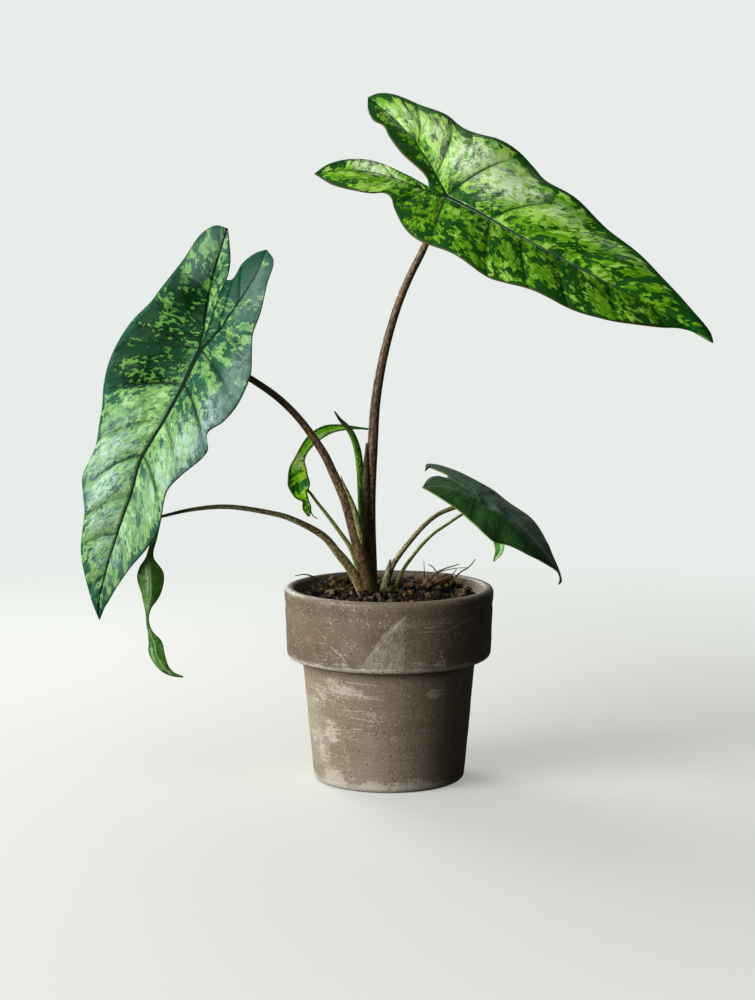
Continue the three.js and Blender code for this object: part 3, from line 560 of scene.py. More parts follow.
def leaf_finish(name, look):
    """The upper face of a leaf: angular light and dark patches that run with the side veins, with painted
    sheen, glints and shade.
    """
    f = Finish(name)
    flat = f.uv("flat")
    along = f.parts(flat)[0]
    vein, share, reach, off_rib, turn, off_vein, grain = leaf_maps(f)
    beside_notch = f.band(share, -0.001, -0.002)
    grain = f.add("Mix", {0: beside_notch, 4: grain, 5: flat}, data_type="VECTOR").outputs[1]
    share = f.maths("ABSOLUTE", share)
    off_margin = f.times(f.maths("SUBTRACT", 1.0, share), reach)
    panel = f.band(turn, 0.03, 0.3)  # 1 in the middle between two side veins
    first_half = f.band(vein, -9.0, -8.0)  # the second half's veins are numbered from -HALF_SHIFT up

    broad = f.noise(f.scaled(grain, BROAD), 1.0, 3, 0.5, 0.4)
    fine = f.noise(f.scaled(grain, (0.3, 0.14, 1), (7, 3, 0)), 1.0, 4, 0.65, 0.3)
    ragged = f.warped(grain, 0.24, RAGGED)
    shards = f.shards(f.scaled(ragged, SHARD))
    chips = f.shards(f.scaled(ragged, (0.7, 0.36, 1)))
    drift = f.times(f.maths("SUBTRACT", f.noise(flat, 0.035, 3, 0.5), 0.5), look["drift"])
    zones = f.blobs(flat, look["zones"], start=drift)
    # deep darkens ovals of the blade: partly the leaf's own dark colour, partly painted shade
    deep = f.maths("MINIMUM", f.blobs(flat, look["deep"], 0.5), 1.0)
    deep = f.times(deep, f.band(vein, look["deep_past"], look["deep_past"] + 0.15))
    pattern = f.total(-0.98, (broad, 0.9), (shards, 0.8), (chips, 0.26))
    finer = f.total(0.04, (shards, -0.45), (chips, 0.37))  # the deep parts are flecked finely
    pattern = f.total(pattern, (finer, deep))
    level = f.total(0.5, (zones, 1.0), (pattern, look["mottle"]), (deep, -look["deep_dark"]))

    pale_from, dark_below = look["pale_from"], look["dark_below"]
    colour = f.mix(f.band(chips, 0.2, 0.8), look["bright"], look["light"])
    colour = f.over(colour, look["pale"], f.band(level, pale_from, pale_from + 0.06))
    colour = f.over(colour, look["middle"], f.band(level, dark_below + 0.1, dark_below + 0.06))
    dark = f.band(level, dark_below + 0.02, dark_below - 0.01)
    deepest = f.total(0.0, (deep, 0.72), (f.times(deep, f.band(broad, 0.46, 0.58)), 0.28))
    colour = f.over(colour, look["fleck"], deep, 0.7)
    colour = f.over(colour, f.mix(deepest, look["dark"], look["deep_colour"]), dark)

    wander = look["wander"]
    margin = look["margin"] + 4.5 * wander
    inwards = f.total(off_margin, (fine, 5.0 * wander), (shards, 4.0 * wander))
    inwards = f.total(inwards, (first_half, -look["margin_more"]))
    edge = f.band(inwards, margin + 0.6, margin - 0.6)
    colour = f.over(colour, look["dark"], edge)
    # Painted sheen: shine, gleam and glints lay pale colour where the window's reflection lies on the glossy
    # blade
    ripple = f.noise(f.scaled(ragged, (0.3, 0.2, 1), (5, 8, 0)), 1.0, 4, 0.7, 0.6)
    gleam = f.times(f.band(ripple, look["gleam"], look["gleam"] + 0.16), f.total(0.35, (panel, 0.65)))
    shine = f.times(f.blobs(flat, look["shine"], 0.1), f.total(1.0, (dark, -look["shine_gap"]), (edge, -0.6)))
    colour = f.over(colour, look["shine_colour"], f.maths("MINIMUM", f.times(shine, gleam), 0.9))
    colour = f.over(colour, PAINTED_GLINT, f.band(ripple, 0.6, 0.68), f.maths("MINIMUM", shine, look["glint"]))
    # veil lays a smoother painted sheen over its ovals
    patchy = f.total(0.55, (f.band(ripple, 0.36, 0.56), 0.45), (edge, -0.3))
    colour = f.over(colour, look["shine_colour"], f.blobs(flat, look["veil"], 0.2), patchy)

    drawn = f.times(f.parts(f.uv("drawn"))[0], f.band(share, 0.98, 0.5))
    # Painted shade beside the side veins, as in their grooves, as far as shade says
    colour = f.over(colour, look["vein"], f.band(off_vein, look["shade_width"], 0.3), drawn, look["shade"])
    side_vein = f.times(f.band(off_vein, 0.9, 0.4), f.total(0.08, (drawn, 0.92)))
    colour = f.over(colour, look["vein"], side_vein, look["veins"])
    taper = f.total(1.0, (along, -0.65 / 150), (f.band(along, 2, -12), -0.6), (f.band(along, -8, -60), -0.4))
    from_rib = f.maths("DIVIDE", off_rib, f.maths("MAXIMUM", f.times(taper, look["rib"]), 0.3))
    # Painted highlight: a pale line beside the rib, on the second half's side
    lit_side = f.total(1.0, (first_half, -0.9))  # the rib catches light on the side of the second half
    rib_highlight = f.times(f.band(from_rib, 2.5, 1.4), lit_side, f.band(along, 140, 70), f.band(along, -2, 4))
    colour = f.over(colour, look["rib_highlight_colour"], rib_highlight, look["rib_highlight_share"])
    rib = f.times(f.band(from_rib, 1.15, 0.8), f.band(reach, 0.8, 2.2))
    colour = f.over(colour, look["vein"], rib, f.total(1.0, (f.band(along, -10, -45), -0.4)))
    # Painted sheen: far lays a greyer colour over the first half, the right leaf's far half
    if "far" in look:
        colour = f.over(colour, look["far"], first_half, 0.6)

    pucker = f.noise(f.scaled(grain, (0.17, 0.1, 1), (3, 9, 0)), 1.0, 3, 0.5)
    net = f.band(f.cells(f.scaled(ragged, (0.5, 0.32, 1)), 1.0, "DISTANCE_TO_EDGE"), 0.0, 0.2)
    grooves = f.times(f.band(off_vein, 0.0, 2.2), 0.4 * look["veins"])
    grooves = f.total(grooves, (f.band(from_rib, 0.4, 2.4), look["groove"]))
    height = f.total(grooves, (pucker, look["pucker"]), (fine, 0.4), (net, 0.05), (panel, 0.3))
    gloss = f.total(look["roughness"], (broad, 0.16), (deep, 0.12), (f.band(from_rib, 1.6, 0.8), 0.35))
    return f.skin(
        colour, gloss, f.bump(height, 1.0),
        Specular_IOR_Level=look["specular"], Specular_Tint=look["gloss_tint"],
        Subsurface_Weight=look["through"], Subsurface_Radius=(0.75, 1.0, 0.35), Subsurface_Scale=2 * MM,
    )


def underside_finish(name, pale, dark, rib):
    """The duller underside: the upper face's patches show through it softly, and its veins stand out."""
    f = Finish(name)
    _, _, reach, off_rib, _, off_vein, grain = leaf_maps(f)
    broad = f.noise(f.scaled(grain, BROAD), 1.0, 3, 0.5, 0.4)
    shards = f.shards(f.scaled(f.warped(grain, 0.24, RAGGED), SHARD))
    cloud = f.noise(f.uv("flat"), 0.12, 5, 0.6)
    patchy = f.band(f.total(0.0, (broad, 0.9), (shards, 0.5), (cloud, 0.4)), 0.7, 1.1)
    ribs = f.maths("MAXIMUM", f.band(off_rib, 2.0, 0.6), f.times(f.band(off_vein, 1.2, 0.3), 0.7))
    tone = f.over(f.mix(patchy, dark, pale), rib, ribs, f.band(reach, 3, 12), 0.6)
    return f.skin(tone, 0.5, f.bump(f.total(ribs, (cloud, 0.5)), 0.8), Specular_IOR_Level=0.2)


def plain_finish(name, colour, roughness):
    f = Finish(name)
    grain = f.noise(f.place(), 900, 3)
    return f.skin(f.over(tint(colour), (0.01, 0.01, 0.01, 1), grain, 0.5), roughness)


def dress_blade(name, patches):
    """Joins and thickens a blade's patches, and gives it a finish each for top, underside and rim."""
    for patch in patches:
        towards(patch, EYE)
    piece = joined(patches)
    look = LOOKS[name]
    finishes = [
        leaf_finish(name + "_green", look),
        underside_finish(name + "_underside", *look["under"]),
        plain_finish(name + "_margin", look["rim"], 0.5),
    ]
    for made in finishes:
        piece.data.materials.append(made)
    apply_modifier(
        piece, "SOLIDIFY", thickness=LEAF_THICKNESS * MM, offset=0, material_offset=1, material_offset_rim=2
    )
    finish_piece(piece, finishes, [name])


# Looks of the blades

# The colours, weights and widths in mm of the markings, and the ovals that they gather in, each with its
# centre on the flat leaf, its radii and its weight. through is how much light comes through the blade, and
# under has the underside's pale, dark and rib colours.
# deep holds ovals laid darker, partly the leaf's own colour and partly painted shade.
# shade is how much painted shade lies beside the side veins, within shade_width mm.
# shine and veil hold ovals of painted sheen, and gleam and glint say how it breaks into painted glints.
COMMON_LOOK = {
    "deep_past": -100, "deep_dark": 0.0, "margin_more": 0.0, "shine_gap": 0.0, "shade_width": 2.0,
    "veins": 0.9, "wander": 1.0, "pale_from": 0.9, "groove": 0.7, "pucker": 0.7, "specular": 0.2,
    "gloss_tint": (1, 1, 1, 1), "through": 0.0, "slot": "leaf",
}
TALL_LOOK = {
    **COMMON_LOOK, "under": ("#74a04c", "#447a38", "#9ab682"), "rim": "#7a5020",
    "bright": "#529808", "light": "#7ebc22", "pale": "#a6d858", "middle": "#387c0a", "dark": "#195210",
    "vein": "#123a0a", "shine_colour": "#e0f6c8", "deep_colour": "#124008", "fleck": "#4f960c",
    "rib_highlight_colour": PAINTED_GLINT,
    "deep": [((-24, 8), (20, 7), 0.8), ((-73, 42), (8, 8), 0.9)],
    "zones": [
        ((26, 28), (84, 32), 0.2), ((-40, 40), (34, 14), 0.2), ((162, 0), (30, 34), -0.36),
        ((-48, -14), (34, 18), 0.26), ((0, -20), (34, 22), 0.06), ((-22, 11), (10, 6), -0.5),
        ((-36, 17), (11, 7), -0.5), ((-54, 25), (12, 7), -0.4),
    ],
    "shine": [
        ((14, 24), (46, 22), 1.1), ((-38, 38), (36, 12), 0.6), ((54, 24), (30, 10), 0.5),
        ((-8, 36), (30, 18), 0.7), ((-48, -6), (30, 8), 1.1), ((92, 20), (34, 6), 0.45),
    ],
    "veil": [((10, 28), (44, 20), 0.3), ((-36, 42), (34, 12), 0.14), ((-46, -4), (26, 6), 0.4)],
    "margin_more": 1.8, "drift": 0.25, "mottle": 1.0, "gleam": 0.41, "glint": 0.85, "shine_gap": 0.5,
    "shade": 0.3, "pale_from": 0.84, "dark_below": 0.42, "margin": 2.8, "rib": 1.0, "rib_highlight_share": 1.0,
    "roughness": 0.32, "pucker": 0.6,
}
LEFT_LOOK = {
    **COMMON_LOOK, "under": ("#7ea276", "#4a7658", "#9ab496"), "rim": "#5c5230",
    "bright": "#5a8e50", "light": "#80ac60", "pale": "#9cc286", "middle": "#417050", "dark": "#24543c",
    "vein": "#0a2214", "shine_colour": "#bcd6d6", "deep_colour": "#04260a", "fleck": "#4f8c28",
    "rib_highlight_colour": "#86b08c", "gloss_tint": (0.6, 1, 0.75, 1),
    "deep": [((2, -28), (60, 36), 1.0), ((-44, -10), (20, 8), 0.7)], "deep_past": -14.15, "deep_dark": 0.3,
    "zones": [
        ((84, -3), (86, 46), 0.2), ((30, -26), (20, 22), 0.1), ((-62, -28), (12, 10), -0.2),
        ((-46, 0), (20, 8), -0.3), ((-26, -32), (44, 9), 0.1), ((-14, -20), (40, 14), 0.04),
        ((4, -24), (24, 26), 0.08), ((-50, 14), (36, 30), -0.2), ((16, 36), (60, 16), -0.3),
        ((108, 24), (50, 7), -0.2), ((167, -2), (13, 14), -0.6),
    ],
    "shine": [
        ((80, -18), (46, 18), 0.75), ((40, 26), (46, 14), 0.5), ((-20, 30), (34, 12), 0.3),
        ((120, -8), (36, 18), 0.45), ((66, 14), (44, 14), 0.45),
    ],
    "veil": [
        ((-44, 14), (34, 18), 0.18), ((10, 34), (54, 16), 0.18), ((60, 26), (50, 14), 0.18),
        ((84, -24), (50, 14), 0.2), ((-50, -28), (28, 14), 0.14), ((112, 6), (60, 22), 0.1),
    ],
    "drift": 0.3, "mottle": 0.75, "gleam": 0.42, "glint": 0.1, "shade": 0.5, "shade_width": 3.2,
    "dark_below": 0.45, "margin": 1.8, "rib": 2.0, "rib_highlight_share": 0.3, "roughness": 0.24, "specular": 0.12,
}
# Its far colour is a painted sheen on the far half of the blade.
RIGHT_LOOK = {
    **COMMON_LOOK, "slot": "dark_leaf", "under": ("#4c6c46", "#3a5838", "#83a070"), "rim": "#83a83a",
    # Its pale vein colour on the rib and its shine along it are partly the rib's colour, partly a painted
    # highlight on the ridge
    "bright": "#305a2a", "light": "#34622c", "pale": "#386830", "middle": "#295024", "dark": "#234820",
    "vein": "#7c9078", "shine_colour": "#9aac98", "far": "#64826e", "deep_colour": "#163c16",
    "fleck": "#1c4a20", "rib_highlight_colour": "#9aac98", "deep": [((44, -2), (22, 10), 0.5)],
    "zones": [((20, 6), (60, 30), 0.2)],
    "shine": [((36, 7), (26, 2.2), 1.0), ((4, 1), (14, 2), 0.8)],
    "veil": [((26, 2), (40, 5), 0.14), ((36, 5.5), (34, 1.8), 0.4)],
    "drift": 0.1, "mottle": 0.15, "groove": 0.3, "gleam": 0.4, "glint": 0.2, "shade": 0.0, "veins": 0.1,
    "wander": 0.3, "dark_below": 0.4, "margin": 0.6, "rib": 1.0, "rib_highlight_share": 0.3, "roughness": 0.26,
}
NARROW_LOOK = {
    "margin_more": 0.0, "wander": 0.1, "rib": 0.1, "rib_highlight_share": 0.0, "shade": 0.0, "veins": 0.0, "pucker": 0.3,
    "veil": [], "groove": 0.12, "rim": "#3f6b1e",
}
LOOKS = {
    "tall_blade": TALL_LOOK,
    "left_blade": LEFT_LOOK,
    "right_blade": RIGHT_LOOK,
    # The trailing blade's veil and first zone are painted light on its neck, which lies in the left leaf's
    # shadow; its deep ovals are partly painted shade in the folded pod
    "trailing_blade": {
        **LEFT_LOOK, **NARROW_LOOK, "gloss_tint": (1, 1, 1, 1), "under": ("#7f9c74", "#5f8456", "#a9c090"),
        "bright": "#426e2c", "light": "#5e8c44", "pale": "#8cb474", "middle": "#345e24", "dark": "#1e4818",
        "vein": "#80a468", "shine_colour": "#b0cca6", "veil": [((4, 0), (17, 4), 0.7)], "mottle": 0.4,
        "drift": 0.3, "zones": [((6, 0), (20, 4), 0.5)], "deep_past": -100, "deep_dark": 0.0,
        "deep": [((38, -3.4), (19, 4), 1.0), ((77, -0.5), (9, 2.5), 0.9), ((102, 0), (10, 3), 1.0)],
        "deep_colour": "#1a4410", "fleck": "#2a5a12",
        "shine": [((32, 1.6), (27, 1.7), 0.55), ((22, -4.6), (10, 1.6), 0.5), ((78, 2.4), (11, 1.2), 0.4)],
        "gleam": 0.3, "glint": 0.0, "dark_below": 0.3, "margin": 0.4,
    },
    # The curled blade's bright colours and underside are partly painted light: light coming through it,
    # beside its real through
    "curled_blade": {
        **TALL_LOOK, **NARROW_LOOK, "slot": "bright_leaf", "under": ("#b4e26c", "#86c83c", "#c8ec90"),
        "bright": "#aae414", "light": "#d0f428", "pale": "#b8f07c", "middle": "#6cb80e", "dark": "#2a7c0c",
        "vein": "#8cc828", "shine_colour": "#ecfcd0", "mottle": 0.9, "drift": 0.2, "through": 0.6,
        "zones": [((20, 0), (17, 7), 0.04), ((62, 0), (36, 8), 0.4), ((5, 0), (9, 7), -0.1)],
        "deep": [((19, -4.8), (15, 2), 1.0), ((6, 0.5), (6, 1.2), 0.8)], "deep_dark": 0.1, "fleck": "#3a8210",
        "shine": [((33, -0.5), (8, 5), 1.1), ((54, 1.4), (22, 1.8), 0.6)], "gleam": 0.34, "glint": 0.4,
        "margin": 0.7,
    },
    "small_blade": {
        **TALL_LOOK, **NARROW_LOOK, "slot": "bright_leaf", "under": ("#a4dc84", "#84c864", "#c0e8a4"),
        "bright": "#7cc45a", "light": "#98d878", "pale": "#b0e090", "middle": "#68b048", "dark": "#4c9838",
        "vein": "#4c9838", "mottle": 0.5, "zones": [], "deep": [], "fleck": "#4c9838", "dark_below": 0.3,
        "shine": [((30, -1), (14, 2), 0.8)], "margin": 0.3, "rib": 0.3, "through": 0.3,
    },
}

for leaf_name, leaf in LEAVES.items():
    dress_blade(leaf_name, leaf_patches(leaf_name + "_sheet", leaf))


# Narrow leaves: strips along a line, with their half widths and their roll about the line in degrees

NARROW_LEAVES = {
    "trailing_blade": {
        "route": [
            (-128.9, -20, 153.8), (-130.6, -20.7, 148), (-131.9, -21, 143), (-134.6, -22, 134),
            (-135.2, -22, 126), (-134.7, -22, 118), (-134.7, -22, 111), (-136.3, -22, 103),
            (-136.4, -22, 93), (-134.4, -22, 86), (-132.7, -22, 81.5), (-132.1, -22, 76.6),
            (-129.9, -22, 71.6), (-127, -22, 67.3), (-122.8, -22, 64.3), (-117, -22, 62.7),
        ],
        "half_widths": [
            0.7, 1, 1.2, 1.4, 1.5, 2.4, 5.6, 7.4, 7.1, 5.7, 3.9, 1.8, 0.8, 0.9, 1.6, 3.5, 4.5, 4.1, 3.1, 2,
            1, 0.4,
        ],
        "rolls": [0, 0, 0, 10, 10, 0, 0, 0, 10, 20, 20, 15, 10, 0, 0, 0], "fold": -0.35,
    },
    "curled_blade": {
        "route": [
            (-46, 5, 150.9), (-47.1, 5.2, 156), (-48, 5.5, 160.3), (-50.4, 6, 164.1), (-51.5, 6.5, 169.2),
            (-52.2, 7.2, 175), (-52.1, 8.2, 180.1), (-51.1, 9, 184.4), (-48.6, 10, 189.5),
            (-45.1, 11, 194.2), (-40.7, 11.5, 197.8), (-34.6, 12, 200.5), (-24.3, 12, 201.5),
            (-11.8, 12, 200.6),
        ],
        "half_widths": [
            0.6, 2.4, 1.9, 4.4, 6.2, 5.6, 4.7, 3, 2.6, 2.9, 3.2, 3.2, 2.8, 2.1, 1.5, 0.9, 0.5, 0.4,
        ],
        "rolls": [0, 0, 0, 0, 10, 15, 10, 0, 0, 0], "fold": 0.5,
    },
    "small_blade": {
        "route": [
            (49, 13.3, 153.7), (54, 15, 151), (58.8, 16, 147), (62.3, 16, 141), (63.9, 15.5, 133.6),
            (63.8, 14.5, 129.3), (62, 13.5, 126.1), (60.7, 13, 123.5),
        ],
        "half_widths": [0.7, 2.2, 3.4, 4, 4.1, 3.4, 2.7, 1.8, 0.4], "rolls": [0, 0, 0, 0, 0, 0],
        "fold": 0.25,
    },
}
NARROW_ROWS, NARROW_COLUMNS = 150, 20


def narrow_leaf(name, leaf):
    """A strip bent along its line, folded along its middle."""
    line = SmoothLine(leaf["route"])
    share = np.linspace(-1, 1, NARROW_COLUMNS + 1)
    places = np.zeros((NARROW_ROWS + 1, NARROW_COLUMNS + 1, 3))
    flat, grain, span = (np.zeros((NARROW_ROWS + 1, NARROW_COLUMNS + 1, 2)) for _ in range(3))
    for k in range(NARROW_ROWS + 1):
        t = k / NARROW_ROWS
        tangent = line.tangent(t)
        roll = math.radians(spread(leaf["rolls"], t))
        level = tangent.cross(Vector((0, -1, 0))).normalized()
        across = level * math.cos(roll) + tangent.cross(level) * math.sin(roll)
        out = across.cross(tangent)
        half = spread(leaf["half_widths"], t)
        fold = leaf["fold"] * np.abs(share) ** 1.3 * half
        offset = np.outer(share * half, across) + np.outer(fold, out)
        places[k] = np.array(line.at(t)) + offset
        flat[k] = np.stack([np.full_like(share, t * line.length), share * half], axis=-1)
        number = np.full_like(share, t * line.length / VEIN_STEP)
        grain[k] = np.stack([number, -0.003 - 0.997 * np.abs(share)], axis=-1)
        span[k] = (VEIN_STEP, half)
    return bent_grid(name, places, {"flat": flat, "grain": grain, "span": span, "drawn": np.zeros_like(flat)})


for leaf_name, leaf in NARROW_LEAVES.items():
    dress_blade(leaf_name, [narrow_leaf(leaf_name + "_sheet", leaf)])


# Stalks, each followed by the sheaths round its foot

STALK_FOOT = 90
# Name, material slot, look, radii spread evenly along it, and route
STEMS = [
    (
        "tall_petiole", "stalk", "stalk_brown", [4, 4.1, 3.6, 3.3, 3, 2.8, 2.6, 2.4, 2.3, 2.1, 1.1],
        [
            (-9.5, 3.5, STALK_FOOT), (-10.5, 4.5, 103), (-10.8, 4.5, 120), (-11, 5, 160), (-9.5, 5, 189),
            (-7.5, 6, 218), (-2.5, 7, 246), (5, 7, 272), (12, 6, 289), (18.5, 4, 302), (25, -1, 317.5),
            (31.5, -7.4, 331),
        ],
    ),
    (
        "tall_sheath", "stalk", "foot_skin", [2.2, 2.3, 2.3, 2.2, 1.8, 0.6],
        [(-13, 2, 130), (-13.3, 1.4, 155), (-13.4, 1.6, 167), (-13.2, 2, 178), (-12.8, 2.6, 192.5)],
    ),
    (
        "foot_sheath", "stalk", "foot_skin", [4.6, 4.5, 4, 3.4, 2.3, 0.7],
        [
            (-10.7, 0.5, 96), (-10.9, 0.3, 109), (-11.3, 0, 121), (-12, -0.4, 132.6), (-12.4, -0.6, 143),
            (-13, -0.4, 156),
        ],
    ),
    (
        "left_petiole", "stalk", "stalk_brown", [3.4, 3.6, 3.9, 3.6, 3, 2.5, 2.3, 2.1, 2, 1.9, 1.8, 1],
        [
            (-9.8, -3.8, STALK_FOOT), (-9.6, -4, 101), (-12.1, -4.2, 113), (-16.7, -5, 132.5),
            (-21.5, -6, 150.5), (-25, -7, 162), (-32.5, -7, 179), (-36.5, -7, 187.5), (-48, -6, 204.5),
            (-55.5, -5, 213), (-65, -4, 221.5), (-79, -3, 231), (-94.5, -7, 241), (-104.6, -18.7, 247),
        ],
    ),
    (
        "left_sheath", "stalk", "wing_skin", [1.2, 1.7, 1.9, 1.7, 1.3, 0.9, 0.3],
        [
            (-15, -6.5, 132), (-16.3, -8, 142), (-17.6, -8.8, 149), (-20.3, -9, 158), (-23.4, -9, 166),
            (-25.8, -8.8, 171.3), (-27.2, -8.6, 175.6),
        ],
    ),
    (
        "trailing_petiole", "green_stalk", "stalk_olive", [
            1.7, 1.9, 2.2, 2.3, 2, 1.7, 1.5, 1.4, 1.3, 1.1, 0.9,
        ],
        [
            (-13.5, -0.2, STALK_FOOT), (-14.3, -0.8, 102), (-17.7, -2, 112.5), (-22.6, -4, 122),
            (-28, -6, 129.5), (-37, -8, 141), (-56, -12, 152), (-67.5, -14, 155.5), (-92, -18, 159.5),
            (-112, -20, 158), (-128.5, -20, 154.2),
        ],
    ),
    (
        "trailing_sheath", "green_stalk", "ribbon_skin", [2.5, 2.7, 2.8, 2.8, 2.6, 2.2, 1.5, 0.5],
        [
            (-13, -3.6, 96), (-14, -4, 103), (-17.2, -4.8, 112.5), (-22, -6, 122), (-27.4, -7.6, 129.8),
            (-33.6, -9, 137), (-38.4, -9.8, 141.6), (-41.4, -10.4, 144.6),
        ],
    ),
    (
        "right_petiole", "green_stalk", "stalk_olive", [2.4, 2.3, 1.9, 1.7, 1.6, 1.5, 1.4, 1.3, 1.3, 0.8],
        [
            (-3.5, 1, STALK_FOOT), (-3, 1, 102), (-0.5, 1, 116), (2.2, 0, 123.5), (7, -1, 131),
            (12.5, -1, 138), (19.5, -1, 146), (27.5, 0, 152.5), (36.5, 3, 156), (44.5, 4, 158.5),
            (49.8, 1, 160.4),
        ],
    ),
    (
        "right_sheath", "green_stalk", "grey_skin", [3.4, 3.3, 2.8, 2.1, 0.8],
        [(-4.5, -0.5, 95), (-3, -1, 106), (-1.2, -1.2, 117), (0.5, -1, 125.5)],
    ),
    (
        "curled_petiole", "green_stalk", "stalk_lime", [1.5, 1.5, 1.4, 1.3, 1.1, 0.9, 0.8],
        [
            (-13.5, 7, STALK_FOOT), (-16.5, 6.5, 103), (-18, 6.5, 119.5), (-22.5, 7, 133), (-28, 8, 141),
            (-35, 9, 150.5), (-41.5, 10.5, 158.5), (-46, 10.5, 164.5), (-51.3, 6.8, 169),
        ],
    ),
    (
        "small_petiole", "green_stalk", "stalk_lime", [1.3, 1.2, 1.1, 1, 0.9, 0.8],
        [
            (1.2, 3, STALK_FOOT), (2.5, 3, 100.5), (5, 4, 113), (8.5, 5, 120.5), (14, 7, 128),
            (19.5, 8, 134.5), (26, 10, 140.5), (33.5, 11, 145.5), (42, 12, 151), (49, 13.2, 153.8),
        ],
    ),
    (
        "spear", "bright_leaf", "spear_green", [1.4, 1.5, 1.6, 1.7, 1.8, 2, 2.1, 2.1, 1.9, 1.5, 0.6],
        [
            (-15.3, 4, 124), (-15.9, 3.5, 143), (-16.1, 3.2, 160.5), (-16.3, 3, 172), (-16.7, 3, 179.5),
            (-17.6, 2.6, 187), (-19.1, 2.2, 193.3), (-21.4, 2, 199), (-24.4, 2, 203.2), (-28, 2, 207),
            (-30.2, 2, 210.3),
        ],
    ),
]


def round_stem(name, route, radii, sides=20, step=1.2, blunt=1.0, depth=1.0):
    """A tube along a route, closed by rounded ends, with a map of turns round it and mm along it.

    depth is how deep the tube is from front to back, as a share of its width.
    """
    line = SmoothLine(route)
    rows = max(8, round(line.length / step))
    turns = np.linspace(0, 2 * np.pi, sides + 1)
    side = line.tangent(0).cross(Vector((0, 1, 0))).normalized()
    rounding = [0.0, 0.35, 0.7, 0.92]
    shares = [0.0] * 4 + [k / rows for k in range(1, rows)] + [1.0] * 4
    sizes = rounding + [1.0] * (rows - 1) + rounding[::-1]
    places, turned = [], []
    for t, size in zip(shares, sizes):
        tangent = line.tangent(t)
        side = (side - side.dot(tangent) * tangent).normalized()
        other = tangent.cross(side)
        radius = spread(radii, t)
        cap = math.sqrt(1 - size**2) * radius * blunt if size < 1 else 0
        centre = line.at(t) + tangent * (cap if t > 0.5 else -cap)
        ring = np.outer(np.cos(turns), side) + np.outer(np.sin(turns) * depth, other)
        places.append(np.array(centre) + ring * radius * size)
        turned.append(np.stack([turns / (2 * np.pi), np.full_like(turns, t * line.length)], axis=-1))
    stem = bent_grid(name, np.array(places), {"stem": np.array(turned)})
    joined([stem], merge=0.005)
    face_out(stem)
    return stem


def stalk_finish(
    name, light, dark, speck, tinge, shade, roughness=0.4, lit=0.45, tip=None, stripe=None, foot=None
):
    """Stalk skin: streaks, a tinge in places, and flecks longer than wide; shade is painted shade on its
    right-hand side.

    lit is how far to the left the painted shade begins. tip gives the mm along it where the last part starts,
    and that part's colour. stripe colours the middle of its front, and foot darkens its lowest part, partly
    as its own colour and partly as painted shade.
    """
    f = Finish(name)
    around, along, _ = f.parts(f.uv("stem"))
    angle = f.times(around, 2 * math.pi)
    left, front = f.maths("COSINE", angle), f.maths("SINE", angle)
    skin = f.vector(left, front, f.times(along, 0.14))
    streak = f.noise(skin, 1.6, 3, 0.6)
    hue = f.noise(f.scaled(skin, (0.7, 0.7, 0.35), (5, 2, 8)), 1.0, 2)
    flecks = f.noise(f.scaled(skin, (2, 2, 2.4), (2, 7, 1)), 1.0, 2, 0.6, 0.3)
    dots = f.noise(f.scaled(skin, (2.8, 2.8, 4), (9, 4, 3)), 1.0, 2, 0.6)
    tone = f.mix(f.band(streak, 0.4, 0.6), light, dark)
    tone = f.over(tone, tinge, f.band(hue, 0.5, 0.62), 0.8)
    tone = f.over(tone, shade, f.band(f.total(left, (streak, 0.6)), lit, lit - 0.55))
    if stripe:
        tone = f.over(tone, stripe, f.band(f.total(f.band(front, 0.5, 0.85), (streak, 0.8)), 0.85, 1.15))
    tone = f.over(tone, speck, f.band(flecks, 0.48, 0.56), 0.8)
    tone = f.over(tone, light, f.band(dots, 0.54, 0.62), 0.65)
    if tip:
        tone = f.over(tone, tip[1], f.band(along, tip[0] - 8, tip[0] + 6), 0.9)
    if foot:
        tone = f.over(tone, foot, f.band(along, 75, 20), 0.6)
    height = f.total(streak, (flecks, 0.6), (dots, 0.4))
    return f.skin(tone, roughness, f.bump(height, 0.3), Specular_IOR_Level=0.3)


# Light, dark, speck, tinge and shade
STALK_COLOURS = {
    "stalk_brown": ("#907652", "#5a4530", "#241a10", "#684a36", "#6e5040"),
    "stalk_olive": ("#a2a06c", "#6a6040", "#2a2214", "#76583c", "#4c4629"),
    "stalk_lime": ("#b4c464", "#889a44", "#5c662c", "#8c8a44", "#66742c"),
    "spear_green": ("#84cc2a", "#4c941a", "#3c7a18", "#5ca020", "#203e0e"),
    "wing_skin": ("#b0b070", "#7a7c42", "#2c2c16", "#86703e", "#505a36"),
    "ribbon_skin": ("#b4b484", "#909058", "#5a5434", "#868e58", "#6c7448"),
    "foot_skin": ("#6e6040", "#443824", "#1a130b", "#444822", "#4a3020"),
    "grey_skin": ("#aab084", "#737a52", "#24261a", "#686a44", "#565c40"),
}
STALK_EXTRAS = {
    "stalk_brown": {"foot": "#342c1a"},
    "spear_green": {"lit": 0.9, "tip": (78, "#2a2612")},
    "ribbon_skin": {"stripe": "#6e5636"},
    "foot_skin": {"roughness": 0.6},
}
stalk_looks = {
    key: stalk_finish(key, *colours, **STALK_EXTRAS.get(key, {})) for key, colours in STALK_COLOURS.items()
}

for stem_name, slot, look, radii, route in STEMS:
    if stem_name.endswith("sheath"):
        sheath = round_stem(stem_name, route, radii, sides=18, step=1.0, blunt=2.0, depth=0.75)
        finish_piece(sheath, [stalk_looks[look]])
    else:
        stem = round_stem(stem_name + "_stem", route, radii, blunt=3.0 if stem_name == "spear" else 1.0)
        finish_piece(stem, [stalk_looks[look]], [stem_name])

